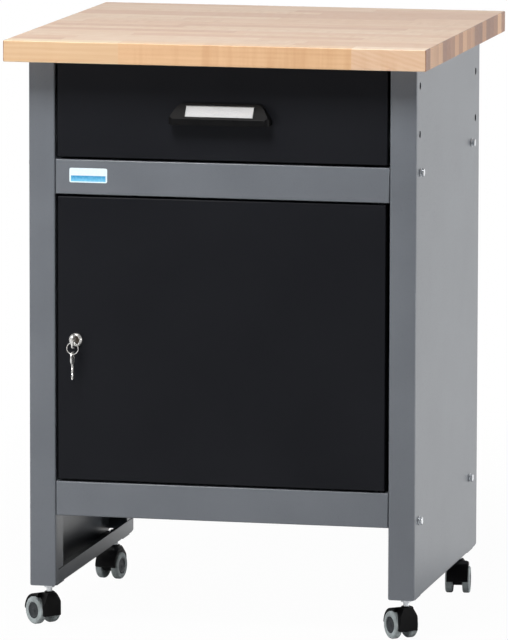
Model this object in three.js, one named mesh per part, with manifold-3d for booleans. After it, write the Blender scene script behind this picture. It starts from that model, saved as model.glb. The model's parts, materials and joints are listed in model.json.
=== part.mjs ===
import * as THREE from 'three';
import { mergeVertices } from 'three/addons/utils/BufferGeometryUtils.js';
import Module from 'manifold-3d';

// A mobile workbench: a beech worktop on a folded steel cabinet with a drawer, a locked cupboard
// and four twin-wheel castors. Millimetres, +Z up. The origin is on the floor under the middle of
// the worktop, and the drawer and the door open towards -Y.

const wasm = await Module();
wasm.setup();

// Worktop, one slab of glued staves
const topWidth = 600;
const topDepth = 600;
const topThickness = 30;
const topEdgeRadius = 3;
const workHeight = 840;

// How far the worktop reaches past the cabinet
const sideOverhang = 23;
const frontOverhang = 54;
const rearOverhang = 77;

// Clearances
const seatGap = 0.3; // between a piece and the one it rests on or in
const runGap = 0.4; // between a piece and the one it turns or slides in
const overrun = 2; // how far a cut passes the face that it opens

// Side panels, each one folded sheet that stands as a box open to the inside
const panelSheet = 1.5;
const panelFold = 2.5; // outer radius of a fold
const legWidth = 38;
const returnDepth = 42; // lips folded back behind the front and rear faces
const bottomLip = 21;
const topLip = 20;
const seamWidth = 1.2; // open seam between the bottom lip and the returns
const seamFrontInset = 17;
const seamRearInset = 3;
const reliefLength = 15; // corner cut off at the rear of the foot
const reliefHeight = 4;

// Round holes through each side panel
const sideHole = 10.5;
const sideHoleSpacing = 67.5;
const frontHoleInset = 22.5;
const frontHoleDrop = 27.5;
const rearHoleInset = 31;
const rearHoleDrop = 48;

// Cross rails between the legs
const railHeight = 49.2;
const railDepth = 36;
const railSheet = 1.5;
const railFold = 2;

// Floor and ceiling pans of the cupboard, and the back
const panSheet = 1.2;
const panFold = 2;
const backDepth = 12;
const backSheet = 1;

// Frame bolts
const boltShank = 6;
const boltHead = 10; // across flats, of the head and of the nut
const boltHeadHeight = 4;
const boltNutHeight = 5;
const boltWasher = 12.5;
const boltWasherThickness = 1.2;
const boltEnd = 1.5; // thread past the nut
const boltDrop = 8; // from a rail's outer edge
const frontBoltInset = 27.5;
const rearBoltInset = 60.5;

// Folded fronts of the drawer and the cupboard
const frontSheet = 1;
const frontFold = 1.8;
const frontDepth = 18;
const drawerFrontHeight = 134.5;
const drawerTopGap = 2.5;
const drawerRailGap = 3.5;
const drawerSideGap = 3.3;
const lowerRailRise = 163.6; // lower edge of the lower rail above the floor
const doorRailGap = 3;
const doorLockGap = 3.5;
const doorHingeGap = 5.5;

// Drawer box and its telescopic runners
const boxSheet = 1;
const boxFold = 2;
const boxHeight = 100;
const boxRise = 11; // above the lower edge of the drawer front
const runnerLength = 430;
const runnerHeight = 45;
const runnerThickness = 12.7;
const runnerSheet = 1.2;
const runnerRise = 19.5; // lower edge above the lower edge of the drawer front
const trackDepth = 2.8; // room for the balls between two members
const hookDepth = 3;
const outerFlange = 11;
const webStep = 0.8; // between the webs of the fixed and the middle member
const middleFlange = 8.4;
const innerFlange = 8.1;
const beadFoot = 3.6; // row of balls, where it sits in its cage
const beadCrown = 2;

// Drawer pull with a sloping label field
const pullWidth = 145;
const pullTopWidth = 116;
const pullHeight = 29.5;
const pullReach = 22;
const pullTopReach = 5.5;
const pullLip = 9;
const pullLipThickness = 3;
const pullWall = 2.6;
const pullEndWall = 5;
const pullCorner = 4;
const pullBossSpacing = 96;
const pullBoss = 7;
const pullBossDrop = 11;
const pullDrop = 1.4; // of its middle, below the middle of the drawer front
const labelWidth = 97;
const labelHeight = 20;
const labelDepth = 1;

// Hinge pins of the door
const pinShank = 6;
const pinShoulder = 10;
const pinHead = 11;
const pinHeadHeight = 2.5;
const pinEngagement = 7;
const pinInset = 6; // from the hinge edge of the door
const pinSetback = 8; // behind the front of the door

// Cam lock
const lockInset = 26.3;
const lockHeight = 199; // above the lower edge of the door
const rosetteDiameter = 19;
const rosetteThickness = 5;
const rosetteBevel = 1.5;
const barrelDiameter = 16;
const barrelLength = 19;
const lockNutAcross = 21;
const lockNutThickness = 4;
const plugDiameter = 11;
const plugRecess = 0.6;
const camSeat = 6; // square end of the plug
const camThickness = 2;
const camWidth = 14;
const camReach = 35;
const camScrew = 9;
const camScrewHeight = 2;
const strikeWidth = 7;
const strikeAbove = 10;
const strikeBelow = 29;

// Keys and their ring
const keyThickness = 2;
const bowWidth = 20.6;
const bowLength = 17;
const bowCorner = 6;
const bowHole = 5.2;
const bowHoleInset = 4.7;
const bladeWidth = 7;
const bladeLength = 22;
const bladeTip = 2;
const bittingDepth = 1.4;
const bittingPitch = 5;
const keyStandoff = 2.5; // between the rosette and the bow
const keywayGap = 0.35;
const ringDiameter = 16.4; // to the middle of the wire
const ringWire = 1.6;

// Castors
const castorHeight = 60; // from the floor to the underside of its plate
const castorPlate = 2;
const castorPlateLength = 40;
const castorInset = 37; // from the front or rear face of the leg
const wheelDiameter = 40;
const wheelWidth = 11;
const wheelSpacing = 14; // between the inner faces of the two wheels
const wheelEdge = 5; // rounding of a tread on its outer side
const wheelInnerEdge = 3;
const hubDiameter = 24;
const hubDish = 0.6;
const hubChamfer = 1.2;
const axleDiameter = 6;
const axleEndGap = 1.8;
const trail = 15;
const hoodRadius = 24;
const hoodWidth = 31;
const hoodCorner = 6; // of its front, seen from above
const hoodFootCorner = 2.5; // cut off both ends of its lower edge
const hoodClearance = 1; // over the treads
const hoodFloor = 13; // height of its lower edge
const hoodRearFloor = 21; // height of its rear end, behind the wheels
const hoodTop = 46;
const shieldShoulder = 22; // height up to which its front has its full width
const shieldSwell = 33; // height that the arch over its front aims at
const fenderShoulder = 40; // the same two heights for the fenders over the treads
const fenderSwell = 45.5;
const hoodBulge = 2; // how far its front swells past a straight fall from the collar
const collarDiameter = 14;
const collarHeight = 48;
const stemDiameter = 8;
const stemEngagement = 18;
const stemHexAcross = 13;
const stemHexHeight = 6;
const stemEnd = 2;
const weldNutHeight = 6.5;

// Which way each castor trails, in degrees about +Z from +X
const castorYaw = { front_left: 139.4, front_right: 129.2, rear_left: -100, rear_right: -83 };

// Facets round a full circle, and along one arc of an outline (an even number)
const roundSegments = 20;
const smallSegments = 12;
const wheelSegments = 24;
const foldFacets = 2;
const bowFacets = 4;
const hoodFacets = 16;
const pullFacets = 6;

// Places worked out from the sizes above
const halfCabinet = topWidth / 2 - sideOverhang;
const halfOpening = halfCabinet - legWidth;
const cabinetFront = frontOverhang - topDepth / 2;
const cabinetRear = topDepth / 2 - rearOverhang;
const underTop = workHeight - topThickness;
const panelBottom = castorHeight + castorPlate;
const panelTop = underTop - seatGap;

const drawerFrontTop = underTop - drawerTopGap;
const drawerFrontBottom = drawerFrontTop - drawerFrontHeight;
const upperRailTop = drawerFrontBottom - drawerRailGap;
const upperRailBottom = upperRailTop - railHeight;
const doorTop = upperRailBottom - doorRailGap;
const lowerRailBottom = lowerRailRise;
const lowerRailTop = lowerRailBottom + railHeight;
const doorBottom = lowerRailTop + doorRailGap;
const doorLeft = doorLockGap - halfOpening;
const doorRight = halfOpening - doorHingeGap;

const upperBolt = upperRailTop - boltDrop;
const lowerBolt = lowerRailBottom + boltDrop;
const frontBolt = cabinetFront + frontBoltInset;
const rearBolt = cabinetRear - rearBoltInset;

const pinX = doorRight - pinInset;
const pinY = cabinetFront + pinSetback;
const lockX = doorLeft + lockInset;
const lockZ = doorBottom + lockHeight;
const camNear = barrelLength + 2 * seatGap;
const camFar = camNear + camThickness;

const frontCastor = cabinetFront + castorInset;
const rearCastor = cabinetRear - castorInset;
const castorX = halfCabinet - legWidth / 2;
const facetDrop = Math.cos(Math.PI / wheelSegments);
const axleHeight = (wheelDiameter / 2) * facetDrop;

// Solids and geometries

const meshTolerance = 1e-4;

function solidOf(geometry) {
  const bare = new THREE.BufferGeometry();
  bare.setAttribute('position', geometry.getAttribute('position'));
  bare.setIndex(geometry.getIndex());
  const merged = mergeVertices(bare, meshTolerance);
  return new wasm.Manifold(new wasm.Mesh({
    numProp: 3,
    vertProperties: new Float32Array(merged.getAttribute('position').array),
    triVerts: new Uint32Array(merged.getIndex().array),
  }));
}

function geometryOf(solid) {
  const mesh = solid.getMesh();
  const geometry = new THREE.BufferGeometry();
  geometry.setAttribute('position', new THREE.BufferAttribute(mesh.vertProperties, mesh.numProp));
  geometry.setIndex(new THREE.BufferAttribute(mesh.triVerts, 1));
  return geometry;
}

function joined(solids) {
  return solids.reduce((whole, piece) => whole.add(piece));
}

function cutBy(solid, tools) {
  return tools.reduce((rest, tool) => rest.subtract(tool), solid);
}

// The same geometry seen in the mirror plane x = 0, with its faces turned to point outwards again.
function mirrored(geometry) {
  const copy = geometry.clone().scale(-1, 1, 1);
  const index = copy.getIndex().array.slice();
  for (let i = 0; i < index.length; i += 3) {
    const second = index[i + 1];
    index[i + 1] = index[i + 2];
    index[i + 2] = second;
  }
  copy.setIndex(new THREE.BufferAttribute(index, 1));
  return copy;
}

// An outline extruded along one axis, between two places on it. The outline's own axes are
// (x, y) along z, (x, z) along y, and (y, z) along x.
const axisFrames = {
  x: new THREE.Matrix4().set(0, 0, 1, 0, 1, 0, 0, 0, 0, 1, 0, 0, 0, 0, 0, 1),
  y: new THREE.Matrix4().makeRotationX(Math.PI / 2),
  z: new THREE.Matrix4(),
};

function extruded(axis, shape, from, to, facets = foldFacets) {
  const geometry = new THREE.ExtrudeGeometry(shape, {
    depth: to - from,
    bevelEnabled: false,
    curveSegments: facets / 2,
  });
  geometry.applyMatrix4(axisFrames[axis]);
  const start = { x: [from, 0, 0], y: [0, to, 0], z: [0, 0, from] }[axis];
  return solidOf(geometry.translate(...start));
}

function polygon(points) {
  return new THREE.Shape(points.map(([a, b]) => new THREE.Vector2(a, b)));
}

// A rectangle whose four corners each have a radius of their own, from the low corner round.
function roundedRectangle([a0, b0], [a1, b1], [r0, r1, r2, r3]) {
  const shape = new THREE.Shape();
  const corner = (a, b, r, turn) => {
    if (r > 0) shape.absarc(a, b, r, turn * (Math.PI / 2), (turn + 1) * (Math.PI / 2), false);
    else shape.lineTo(a, b);
  };
  shape.moveTo(a0 + r0, b0);
  corner(a1 - r1, b0 + r1, r1, -1);
  corner(a1 - r2, b1 - r2, r2, 0);
  corner(a0 + r3, b1 - r3, r3, 1);
  corner(a0 + r0, b0 + r0, r0, 2);
  return shape;
}

function block([x0, y0, z0], [x1, y1, z1]) {
  const geometry = new THREE.BoxGeometry(x1 - x0, y1 - y0, z1 - z0);
  return solidOf(geometry.translate((x0 + x1) / 2, (y0 + y1) / 2, (z0 + z1) / 2));
}

// A round or many-sided bar along an axis, between two places on it. Its centre is given by the
// two other coordinates, in x, y, z order.
function bar(axis, radius, [a, b], from, to, segments = smallSegments) {
  const shape = new THREE.Shape();
  for (let i = 0; i < segments; i += 1) {
    const turn = ((i + 1 / 2) / segments) * 2 * Math.PI;
    const point = [a + radius * Math.cos(turn), b + radius * Math.sin(turn)];
    if (i === 0) shape.moveTo(...point);
    else shape.lineTo(...point);
  }
  return extruded(axis, shape, from, to);
}

function hexagon(axis, acrossFlats, centre, from, to) {
  return bar(axis, acrossFlats / Math.sqrt(3), centre, from, to, 6);
}

// A profile of [radius, place] points turned round an axis. The profile runs so that the solid
// lies on its left, and starts and ends on the axis or closes on itself.
const latheFrames = {
  x: new THREE.Matrix4().makeRotationZ(-Math.PI / 2),
  y: new THREE.Matrix4(),
  z: new THREE.Matrix4().makeRotationX(Math.PI / 2),
};

function turned(axis, profile, segments = smallSegments) {
  const points = profile.map(([radius, place]) => new THREE.Vector2(radius, place));
  const halfStep = Math.PI / segments;
  const geometry = new THREE.LatheGeometry(points, segments, halfStep);
  return solidOf(geometry.applyMatrix4(latheFrames[axis]));
}

// Materials, from the colours in the photograph

const finishes = {
  beech: { color: 0xe3c39f, roughness: 0.55, metalness: 0 },
  greyPaint: { color: 0x6f747a, roughness: 0.5, metalness: 0.1 },
  blackPaint: { color: 0x1f2024, roughness: 0.5, metalness: 0.1 },
  blackPlastic: { color: 0x17181a, roughness: 0.4, metalness: 0 },
  zinc: { color: 0xc6cacc, roughness: 0.35, metalness: 1 },
  nickel: { color: 0xdcd6cd, roughness: 0.22, metalness: 1 },
  galvanised: { color: 0xb4b9bc, roughness: 0.4, metalness: 1 },
  hubPlastic: { color: 0x34383b, roughness: 0.5, metalness: 0 },
  greyTread: { color: 0x8b9a9a, roughness: 0.7, metalness: 0 },
};

function piece(name, finish, geometry) {
  const facets = geometry.toNonIndexed();
  facets.computeVertexNormals();
  const mesh = new THREE.Mesh(facets, new THREE.MeshStandardMaterial(finishes[finish]));
  mesh.name = name;
  return mesh;
}

// Folded sheet

// A block whose front edges are rounded as folds are, on all four sides of its front face.
function foldedBlock([x0, y0, z0], [x1, y1, z1], radius) {
  const plan = roundedRectangle([x0, y0], [x1, y1], [radius, radius, 0, 0]);
  const side = roundedRectangle([y0, z0], [y1, z1], [radius, 0, 0, radius]);
  return extruded('z', plan, z0, z1).intersect(extruded('x', side, x0, x1));
}

// A sheet folded back on all four edges of a face that looks along -Y.
function foldedTray([x0, y0, z0], [x1, y1, z1], sheet, radius) {
  const hollow = foldedBlock(
    [x0 + sheet, y0 + sheet, z0 + sheet],
    [x1 - sheet, y1 + overrun, z1 - sheet],
    Math.max(radius - sheet, 0),
  );
  return foldedBlock([x0, y0, z0], [x1, y1, z1], radius).subtract(hollow);
}

// Worktop

function worktop() {
  const inset = topEdgeRadius;
  const halfX = topWidth / 2 - inset;
  const halfY = topDepth / 2 - inset;
  const plan = roundedRectangle([-halfX, -halfY], [halfX, halfY], Array(4).fill(topEdgeRadius / 2));
  const slab = new THREE.ExtrudeGeometry(plan, {
    depth: topThickness - 2 * topEdgeRadius,
    bevelThickness: topEdgeRadius,
    bevelSize: topEdgeRadius,
    bevelSegments: foldFacets,
    curveSegments: foldFacets / 2,
  });
  slab.translate(0, 0, underTop + topEdgeRadius);
  return geometryOf(solidOf(slab));
}

// Side panels. The left one is made; the right one is its mirror image, without the strike slot.

function panelShell() {
  const outside = -halfCabinet;
  const inside = -halfOpening;
  const fold = Array(4).fill(panelFold);
  const plan = roundedRectangle([outside, cabinetFront], [inside, cabinetRear], fold);
  const face = roundedRectangle([outside, panelBottom], [inside, panelTop], fold);
  const whole = extruded('z', plan, panelBottom, panelTop)
    .intersect(extruded('y', face, cabinetFront, cabinetRear));
  const innerFold = Array(4).fill(panelFold - panelSheet);
  const hollowPlan = roundedRectangle(
    [outside + panelSheet, cabinetFront + panelSheet],
    [inside - panelSheet, cabinetRear - panelSheet],
    innerFold,
  );
  return whole.subtract(extruded('z', hollowPlan, panelBottom + panelSheet, panelTop - panelSheet));
}

// The open inner side, with the seam that frees the bottom lip from the two returns.
function panelOpenings() {
  const low = -halfOpening - panelSheet - overrun / 2;
  const high = -halfOpening + overrun;
  const lipTop = panelBottom + bottomLip;
  const seamFront = cabinetFront + seamFrontInset;
  const seamRear = cabinetRear - seamRearInset;
  const foot = panelBottom - overrun;
  const window = polygon([
    [cabinetFront + returnDepth, lipTop],
    [cabinetRear - returnDepth, lipTop],
    [cabinetRear - returnDepth, panelTop - topLip],
    [cabinetFront + returnDepth, panelTop - topLip],
  ]);
  const frontSeam = polygon([
    [cabinetFront + returnDepth + seamWidth, lipTop],
    [cabinetFront + returnDepth + seamWidth, lipTop + seamWidth],
    [seamFront, lipTop + seamWidth],
    [seamFront, foot],
    [seamFront + seamWidth, foot],
    [seamFront + seamWidth, lipTop - seamWidth],
    [seamFront + 2 * seamWidth, lipTop],
  ]);
  const rearSeam = polygon([
    [cabinetRear - returnDepth - seamWidth, lipTop + seamWidth],
    [cabinetRear - returnDepth - seamWidth, lipTop],
    [seamRear - seamWidth, lipTop],
    [seamRear - seamWidth, foot],
    [seamRear, foot],
    [seamRear, lipTop + seamWidth],
  ]);
  return [window, frontSeam, rearSeam].map((shape) => extruded('x', shape, low, high));
}

function panelHoles() {
  const outside = -halfCabinet - overrun;
  const webInside = -halfCabinet + panelSheet + overrun;
  const legInside = -halfOpening + overrun;
  const boltHole = boltShank / 2 + seatGap;
  const tools = [];
  for (const [y, drop] of [
    [cabinetFront + frontHoleInset, frontHoleDrop],
    [cabinetRear - rearHoleInset, rearHoleDrop],
  ]) {
    for (const step of [0, sideHoleSpacing]) {
      tools.push(bar('x', sideHole / 2, [y, underTop - drop - step], outside, webInside));
    }
  }
  for (const z of [upperBolt, lowerBolt]) {
    tools.push(bar('x', boltHole, [frontBolt, z], outside, legInside));
    tools.push(bar('x', boltHole, [rearBolt, z], outside, webInside));
  }
  return tools;
}

// Plate and nut welded to the foot for one castor, and the hole for its stem.
function castorSeat(y) {
  const halfLength = castorPlateLength / 2;
  const stemHole = stemDiameter / 2 + seatGap;
  const plateTop = panelBottom + panelSheet / 2;
  const plate = block(
    [-halfCabinet + panelFold, y - halfLength, castorHeight],
    [-halfOpening - panelFold, y + halfLength, plateTop],
  );
  const nutFoot = panelBottom + panelSheet / 2;
  const nutTop = panelBottom + panelSheet + weldNutHeight;
  const nut = hexagon('z', stemHexAcross, [-castorX, y], nutFoot, nutTop);
  const hole = bar('z', stemHole, [-castorX, y], castorHeight - overrun, nutTop + overrun);
  return { plate, nut, hole };
}

function sidePanel(strikeSlot) {
  const seats = [frontCastor, rearCastor].map(castorSeat);
  const body = joined([panelShell(), ...seats.flatMap(({ plate, nut }) => [plate, nut])]);
  const relief = polygon([
    [cabinetRear - reliefLength, panelBottom - overrun],
    [cabinetRear - reliefLength, panelBottom],
    [cabinetRear, panelBottom + reliefHeight],
    [cabinetRear + overrun, panelBottom + reliefHeight],
    [cabinetRear + overrun, panelBottom - overrun],
  ]);
  const tools = [
    ...panelOpenings(),
    ...panelHoles(),
    ...seats.map(({ hole }) => hole),
    extruded('x', relief, -halfCabinet - overrun, -halfOpening + overrun),
  ];
  if (strikeSlot) {
    const middle = cabinetFront + (camNear + camFar) / 2;
    tools.push(block(
      [-halfOpening - panelSheet - overrun, middle - strikeWidth / 2, lockZ - strikeBelow],
      [-halfOpening + overrun, middle + strikeWidth / 2, lockZ + strikeAbove],
    ));
  }
  return geometryOf(cutBy(body, tools));
}

// Cross rails: folded trays between the legs, bolted through their ends

function rail(bottom, boltHeight, pinFlange) {
  const half = halfOpening - seatGap;
  const tray = foldedTray(
    [-half, cabinetFront, bottom],
    [half, cabinetFront + railDepth, bottom + railHeight],
    railSheet,
    railFold,
  );
  const boltReach = half + overrun;
  const boltHole = bar('x', boltShank / 2 + seatGap, [frontBolt, boltHeight], -boltReach, boltReach);
  const low = pinFlange === 'bottom' ? bottom - overrun : bottom + railHeight - railSheet - overrun;
  const pinHole = bar('z', pinShank / 2 + seatGap, [pinX, pinY], low, low + railSheet + 2 * overrun);
  return geometryOf(cutBy(tray, [boltHole, pinHole]));
}

// Pans: the cupboard's floor and ceiling, notched round the folded legs. The ceiling has a flange on each
// side between its notches; the floor carries the load, so its flanges also follow the notches

const panSpan = {
  wide: halfCabinet - panelSheet - seatGap,
  narrow: halfOpening - seatGap,
  depth: [cabinetFront + railDepth + seatGap, cabinetRear - backDepth - seatGap],
  betweenLegs: [cabinetFront + returnDepth + seatGap, cabinetRear - returnDepth - seatGap],
};

function rearBoltHole(z) {
  const reach = halfCabinet + overrun;
  return bar('x', boltShank / 2 + seatGap, [rearBolt, z], -reach, reach);
}

// A channel of the pan's sheet with its web below, seen along its axis.
function channel(axis, [from, to], bottom, ends) {
  const top = bottom + railHeight;
  const outer = roundedRectangle([from, bottom], [to, top], [panFold, panFold, 0, 0]);
  const innerFold = panFold - panSheet;
  const inner = roundedRectangle(
    [from + panSheet, bottom + panSheet],
    [to - panSheet, top + overrun],
    [innerFold, innerFold, 0, 0],
  );
  return extruded(axis, outer, ...ends).subtract(extruded(axis, inner, ...ends));
}

function ceilingPan() {
  const { wide, narrow, depth, betweenLegs } = panSpan;
  const lengthwise = channel('x', depth, upperRailBottom, [-narrow, narrow]);
  const crosswise = channel('y', [-wide, wide], upperRailBottom, betweenLegs);
  return geometryOf(cutBy(lengthwise.add(crosswise), [rearBoltHole(upperBolt)]));
}

// The floor pan seen from above, drawn in from its edge by the inset.
function floorOutline(inset) {
  const wide = panSpan.wide - inset;
  const narrow = panSpan.narrow - inset;
  const [front, rear] = [panSpan.depth[0] + inset, panSpan.depth[1] - inset];
  const [legFront, legRear] = [panSpan.betweenLegs[0] + inset, panSpan.betweenLegs[1] - inset];
  const right = [
    [narrow, front],
    [narrow, legFront],
    [wide, legFront],
    [wide, legRear],
    [narrow, legRear],
    [narrow, rear],
  ];
  const left = right.map(([x, y]) => [-x, y]).reverse();
  return polygon([...right, ...left]);
}

function floorPan() {
  const top = lowerRailBottom + railHeight;
  const whole = extruded('z', floorOutline(0), lowerRailBottom, top);
  const hollow = extruded('z', floorOutline(panSheet), lowerRailBottom - overrun, top - panSheet);
  return geometryOf(cutBy(whole, [hollow, rearBoltHole(lowerBolt)]));
}

function backPanel() {
  const half = halfOpening - seatGap;
  const tray = foldedTray(
    [-half, -cabinetRear, lowerRailBottom],
    [half, backDepth - cabinetRear, panelTop],
    backSheet,
    panFold,
  );
  return geometryOf(tray).rotateZ(Math.PI);
}

// Frame bolts, with washer and nut, along the way from the side panel's web inwards

function frameBolt(y, z, gripEnd) {
  const web = -halfCabinet;
  const washerFace = web - seatGap - boltWasherThickness;
  const nutFace = gripEnd + seatGap;
  const nutEnd = nutFace + boltNutHeight;
  return geometryOf(joined([
    hexagon('x', boltHead, [y, z], washerFace - boltHeadHeight, washerFace),
    bar('x', boltWasher / 2, [y, z], washerFace, web - seatGap),
    bar('x', boltShank / 2, [y, z], washerFace, nutEnd + boltEnd),
    hexagon('x', boltHead, [y, z], nutFace, nutEnd),
  ]));
}

function frameBolts() {
  const tabInside = -halfOpening + seatGap + railSheet;
  const flangeInside = -halfCabinet + panelSheet + seatGap + panSheet;
  const places = {
    front_upper: [frontBolt, upperBolt, tabInside],
    front_lower: [frontBolt, lowerBolt, tabInside],
    rear_upper: [rearBolt, upperBolt, flangeInside],
    rear_lower: [rearBolt, lowerBolt, flangeInside],
  };
  return Object.entries(places).flatMap(([place, numbers]) => {
    const bolt = frameBolt(...numbers);
    return [
      piece(`frame_bolt_left_${place}`, 'zinc', bolt),
      piece(`frame_bolt_right_${place}`, 'zinc', mirrored(bolt)),
    ];
  });
}

// Telescopic runners. Sections lie in the XZ plane on the left side of the drawer: u is measured
// from the fixed member's back towards the drawer, v from the middle of its height.

const runnerFront = cabinetFront + frontDepth + 2 * seatGap;
const runnerRear = runnerFront + runnerLength;
const runnerLeft = -halfOpening + seatGap;
const runnerMiddle = drawerFrontBottom + runnerRise + runnerHeight / 2;
const middleHalf = runnerHeight / 2 - runnerSheet - trackDepth;
const innerHalf = middleHalf - runnerSheet - trackDepth;

function runnerMember(upperHalf) {
  const lowerHalf = upperHalf.map(([u, v]) => [u, -v]).reverse();
  const points = [...upperHalf, ...lowerHalf].map(([u, v]) => [runnerLeft + u, runnerMiddle + v]);
  return geometryOf(extruded('y', polygon(points), runnerFront, runnerRear));
}

function bead(middle, foot) {
  const crown = foot + trackDepth - runGap;
  return [
    [middle - beadFoot / 2, foot],
    [middle - beadCrown / 2, crown],
    [middle + beadCrown / 2, crown],
    [middle + beadFoot / 2, foot],
  ];
}

function fixedMember() {
  const half = runnerHeight / 2;
  return runnerMember([
    [0, half],
    [outerFlange, half],
    [outerFlange, half - hookDepth],
    [outerFlange - runnerSheet, half - hookDepth],
    [outerFlange - runnerSheet, half - runnerSheet],
    [runnerSheet, half - runnerSheet],
  ]);
}

function middleMember() {
  const web = runnerSheet + webStep;
  return runnerMember([
    [web, middleHalf],
    ...bead(web + middleFlange / 2, middleHalf),
    [web + middleFlange, middleHalf],
    [web + middleFlange, middleHalf - runnerSheet],
    [web + runnerSheet, middleHalf - runnerSheet],
  ]);
}

function innerMember() {
  const back = runnerThickness;
  return runnerMember([
    [back - runnerSheet, innerHalf - runnerSheet],
    [back - innerFlange, innerHalf - runnerSheet],
    [back - innerFlange, innerHalf],
    ...bead(back - innerFlange / 2, innerHalf),
    [back, innerHalf],
  ]);
}

// Drawer: folded front, folded box and moulded pull

function drawerFront() {
  const half = halfOpening - drawerSideGap;
  return geometryOf(foldedTray(
    [-half, cabinetFront, drawerFrontBottom],
    [half, cabinetFront + frontDepth, drawerFrontTop],
    frontSheet,
    frontFold,
  ));
}

// The box is folded like the trays and then laid on its face, so that its open side looks up.
function drawerBox() {
  const half = halfOpening - 2 * seatGap - runnerThickness;
  const front = cabinetFront + frontDepth + seatGap;
  const bottom = drawerFrontBottom + boxRise;
  const tray = foldedTray(
    [-half, bottom, -runnerRear],
    [half, bottom + boxHeight, -front],
    boxSheet,
    boxFold,
  );
  return geometryOf(tray).rotateX(Math.PI / 2);
}

// Pull, in the drawer front's own frame: x across, y out of the face is negative, z up from its foot.
function pull() {
  const half = pullWidth / 2;
  const halfTop = pullTopWidth / 2;
  const slope = (pullHeight - pullLip) / (pullReach - pullTopReach);
  const side = polygon([
    [0, 0],
    [0, pullHeight],
    [-pullTopReach, pullHeight],
    [-pullReach, pullLip],
    [-pullReach, 0],
  ]);
  const front = new THREE.Shape();
  front.moveTo(-half + pullCorner, 0);
  front.lineTo(half - pullCorner, 0);
  front.quadraticCurveTo(half, 0, half, pullCorner);
  front.lineTo(half, pullLip - pullCorner / 2);
  front.quadraticCurveTo(half, pullLip + pullCorner, halfTop, pullHeight);
  front.lineTo(-halfTop, pullHeight);
  front.quadraticCurveTo(-half, pullLip + pullCorner, -half, pullLip - pullCorner / 2);
  front.lineTo(-half, pullCorner);
  front.quadraticCurveTo(-half, 0, -half + pullCorner, 0);
  const plan = roundedRectangle(
    [-half, -pullReach],
    [half, 0],
    [pullCorner, pullCorner, 0, 0],
  );
  const body = extruded('x', side, -half, half)
    .intersect(extruded('y', front, -pullReach, 0, pullFacets))
    .intersect(extruded('z', plan, 0, pullHeight, pullFacets));

  const roofDrop = pullWall * Math.hypot(1, slope);
  const roofAt = (reach) => pullHeight - roofDrop - slope * (reach - pullTopReach);
  const lipInside = pullReach - pullLipThickness;
  const grip = polygon([
    [overrun, -overrun],
    [overrun, roofAt(pullTopReach)],
    [-pullTopReach, roofAt(pullTopReach)],
    [-lipInside, roofAt(lipInside)],
    [-lipInside, -overrun],
  ]);
  const gripHalf = halfTop - pullEndWall;
  const hollow = extruded('x', grip, -gripHalf, gripHalf);
  const bossHeight = pullHeight - pullBossDrop;
  const bossReach = pullTopReach + (pullHeight - bossHeight - pullWall / 2) / slope;
  const bosses = [-1, 1].map((sign) => bar(
    'y',
    pullBoss / 2,
    [sign * (pullBossSpacing / 2), bossHeight],
    -bossReach + pullWall,
    0,
  ));
  const kept = joined([body.subtract(hollow), ...bosses.map((boss) => boss.intersect(body))]);

  // The label field is sunk square to the slope, midway along it.
  const field = new THREE.BoxGeometry(labelWidth, labelHeight, 2 * labelDepth);
  field.rotateX(Math.atan(slope));
  field.translate(0, -(pullReach + pullTopReach) / 2, (pullHeight + pullLip) / 2);
  return geometryOf(kept.subtract(solidOf(field)));
}

// Door, hinge pins and lock

function door() {
  const tray = foldedTray(
    [doorLeft, cabinetFront, doorBottom],
    [doorRight, cabinetFront + frontDepth, doorTop],
    frontSheet,
    frontFold,
  );
  const pinHole = bar('z', pinShank / 2 + runGap, [pinX, pinY], doorBottom - overrun, doorTop + overrun);
  const lockHole = bar(
    'y',
    barrelDiameter / 2 + seatGap,
    [lockX, lockZ],
    cabinetFront - overrun,
    cabinetFront + frontSheet + overrun,
    roundSegments,
  );
  return geometryOf(cutBy(tray, [pinHole, lockHole]));
}

// A hinge pin with its head in the rail, its shoulder in the gap and its end in the door. It is
// turned upwards from the head; the upper pin is the same piece the other way up.
function hingePin() {
  const neck = railSheet + 2 * seatGap;
  const shoulder = doorRailGap - 2 * seatGap;
  const neckTop = pinHeadHeight + neck;
  const shoulderTop = neckTop + shoulder;
  const end = shoulderTop + seatGap + frontSheet + pinEngagement;
  return turned('z', [
    [0, 0],
    [pinHead / 2, 0],
    [pinHead / 2, pinHeadHeight],
    [pinShank / 2, pinHeadHeight],
    [pinShank / 2, neckTop],
    [pinShoulder / 2, neckTop],
    [pinShoulder / 2, shoulderTop],
    [pinShank / 2, shoulderTop],
    [pinShank / 2, end],
    [0, end],
  ]);
}

// Lock pieces lie along Y, with y = 0 at the face of the door and x = z = 0 on the key's axis.
const rosetteFace = -seatGap - rosetteThickness;

function lockHousing() {
  const outer = rosetteDiameter / 2;
  const bore = plugDiameter / 2 + runGap;
  return geometryOf(turned('y', [
    [bore, rosetteFace],
    [outer - rosetteBevel, rosetteFace],
    [outer, rosetteFace + rosetteBevel],
    [outer, -seatGap],
    [barrelDiameter / 2, -seatGap],
    [barrelDiameter / 2, barrelLength],
    [bore, barrelLength],
    [bore, rosetteFace],
  ], roundSegments));
}

function lockNut() {
  const near = frontSheet + seatGap;
  const nut = hexagon('y', lockNutAcross, [0, 0], near, near + lockNutThickness);
  const bore = bar(
    'y',
    barrelDiameter / 2 + seatGap,
    [0, 0],
    near - overrun,
    near + lockNutThickness + overrun,
    roundSegments,
  );
  return geometryOf(nut.subtract(bore));
}

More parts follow.
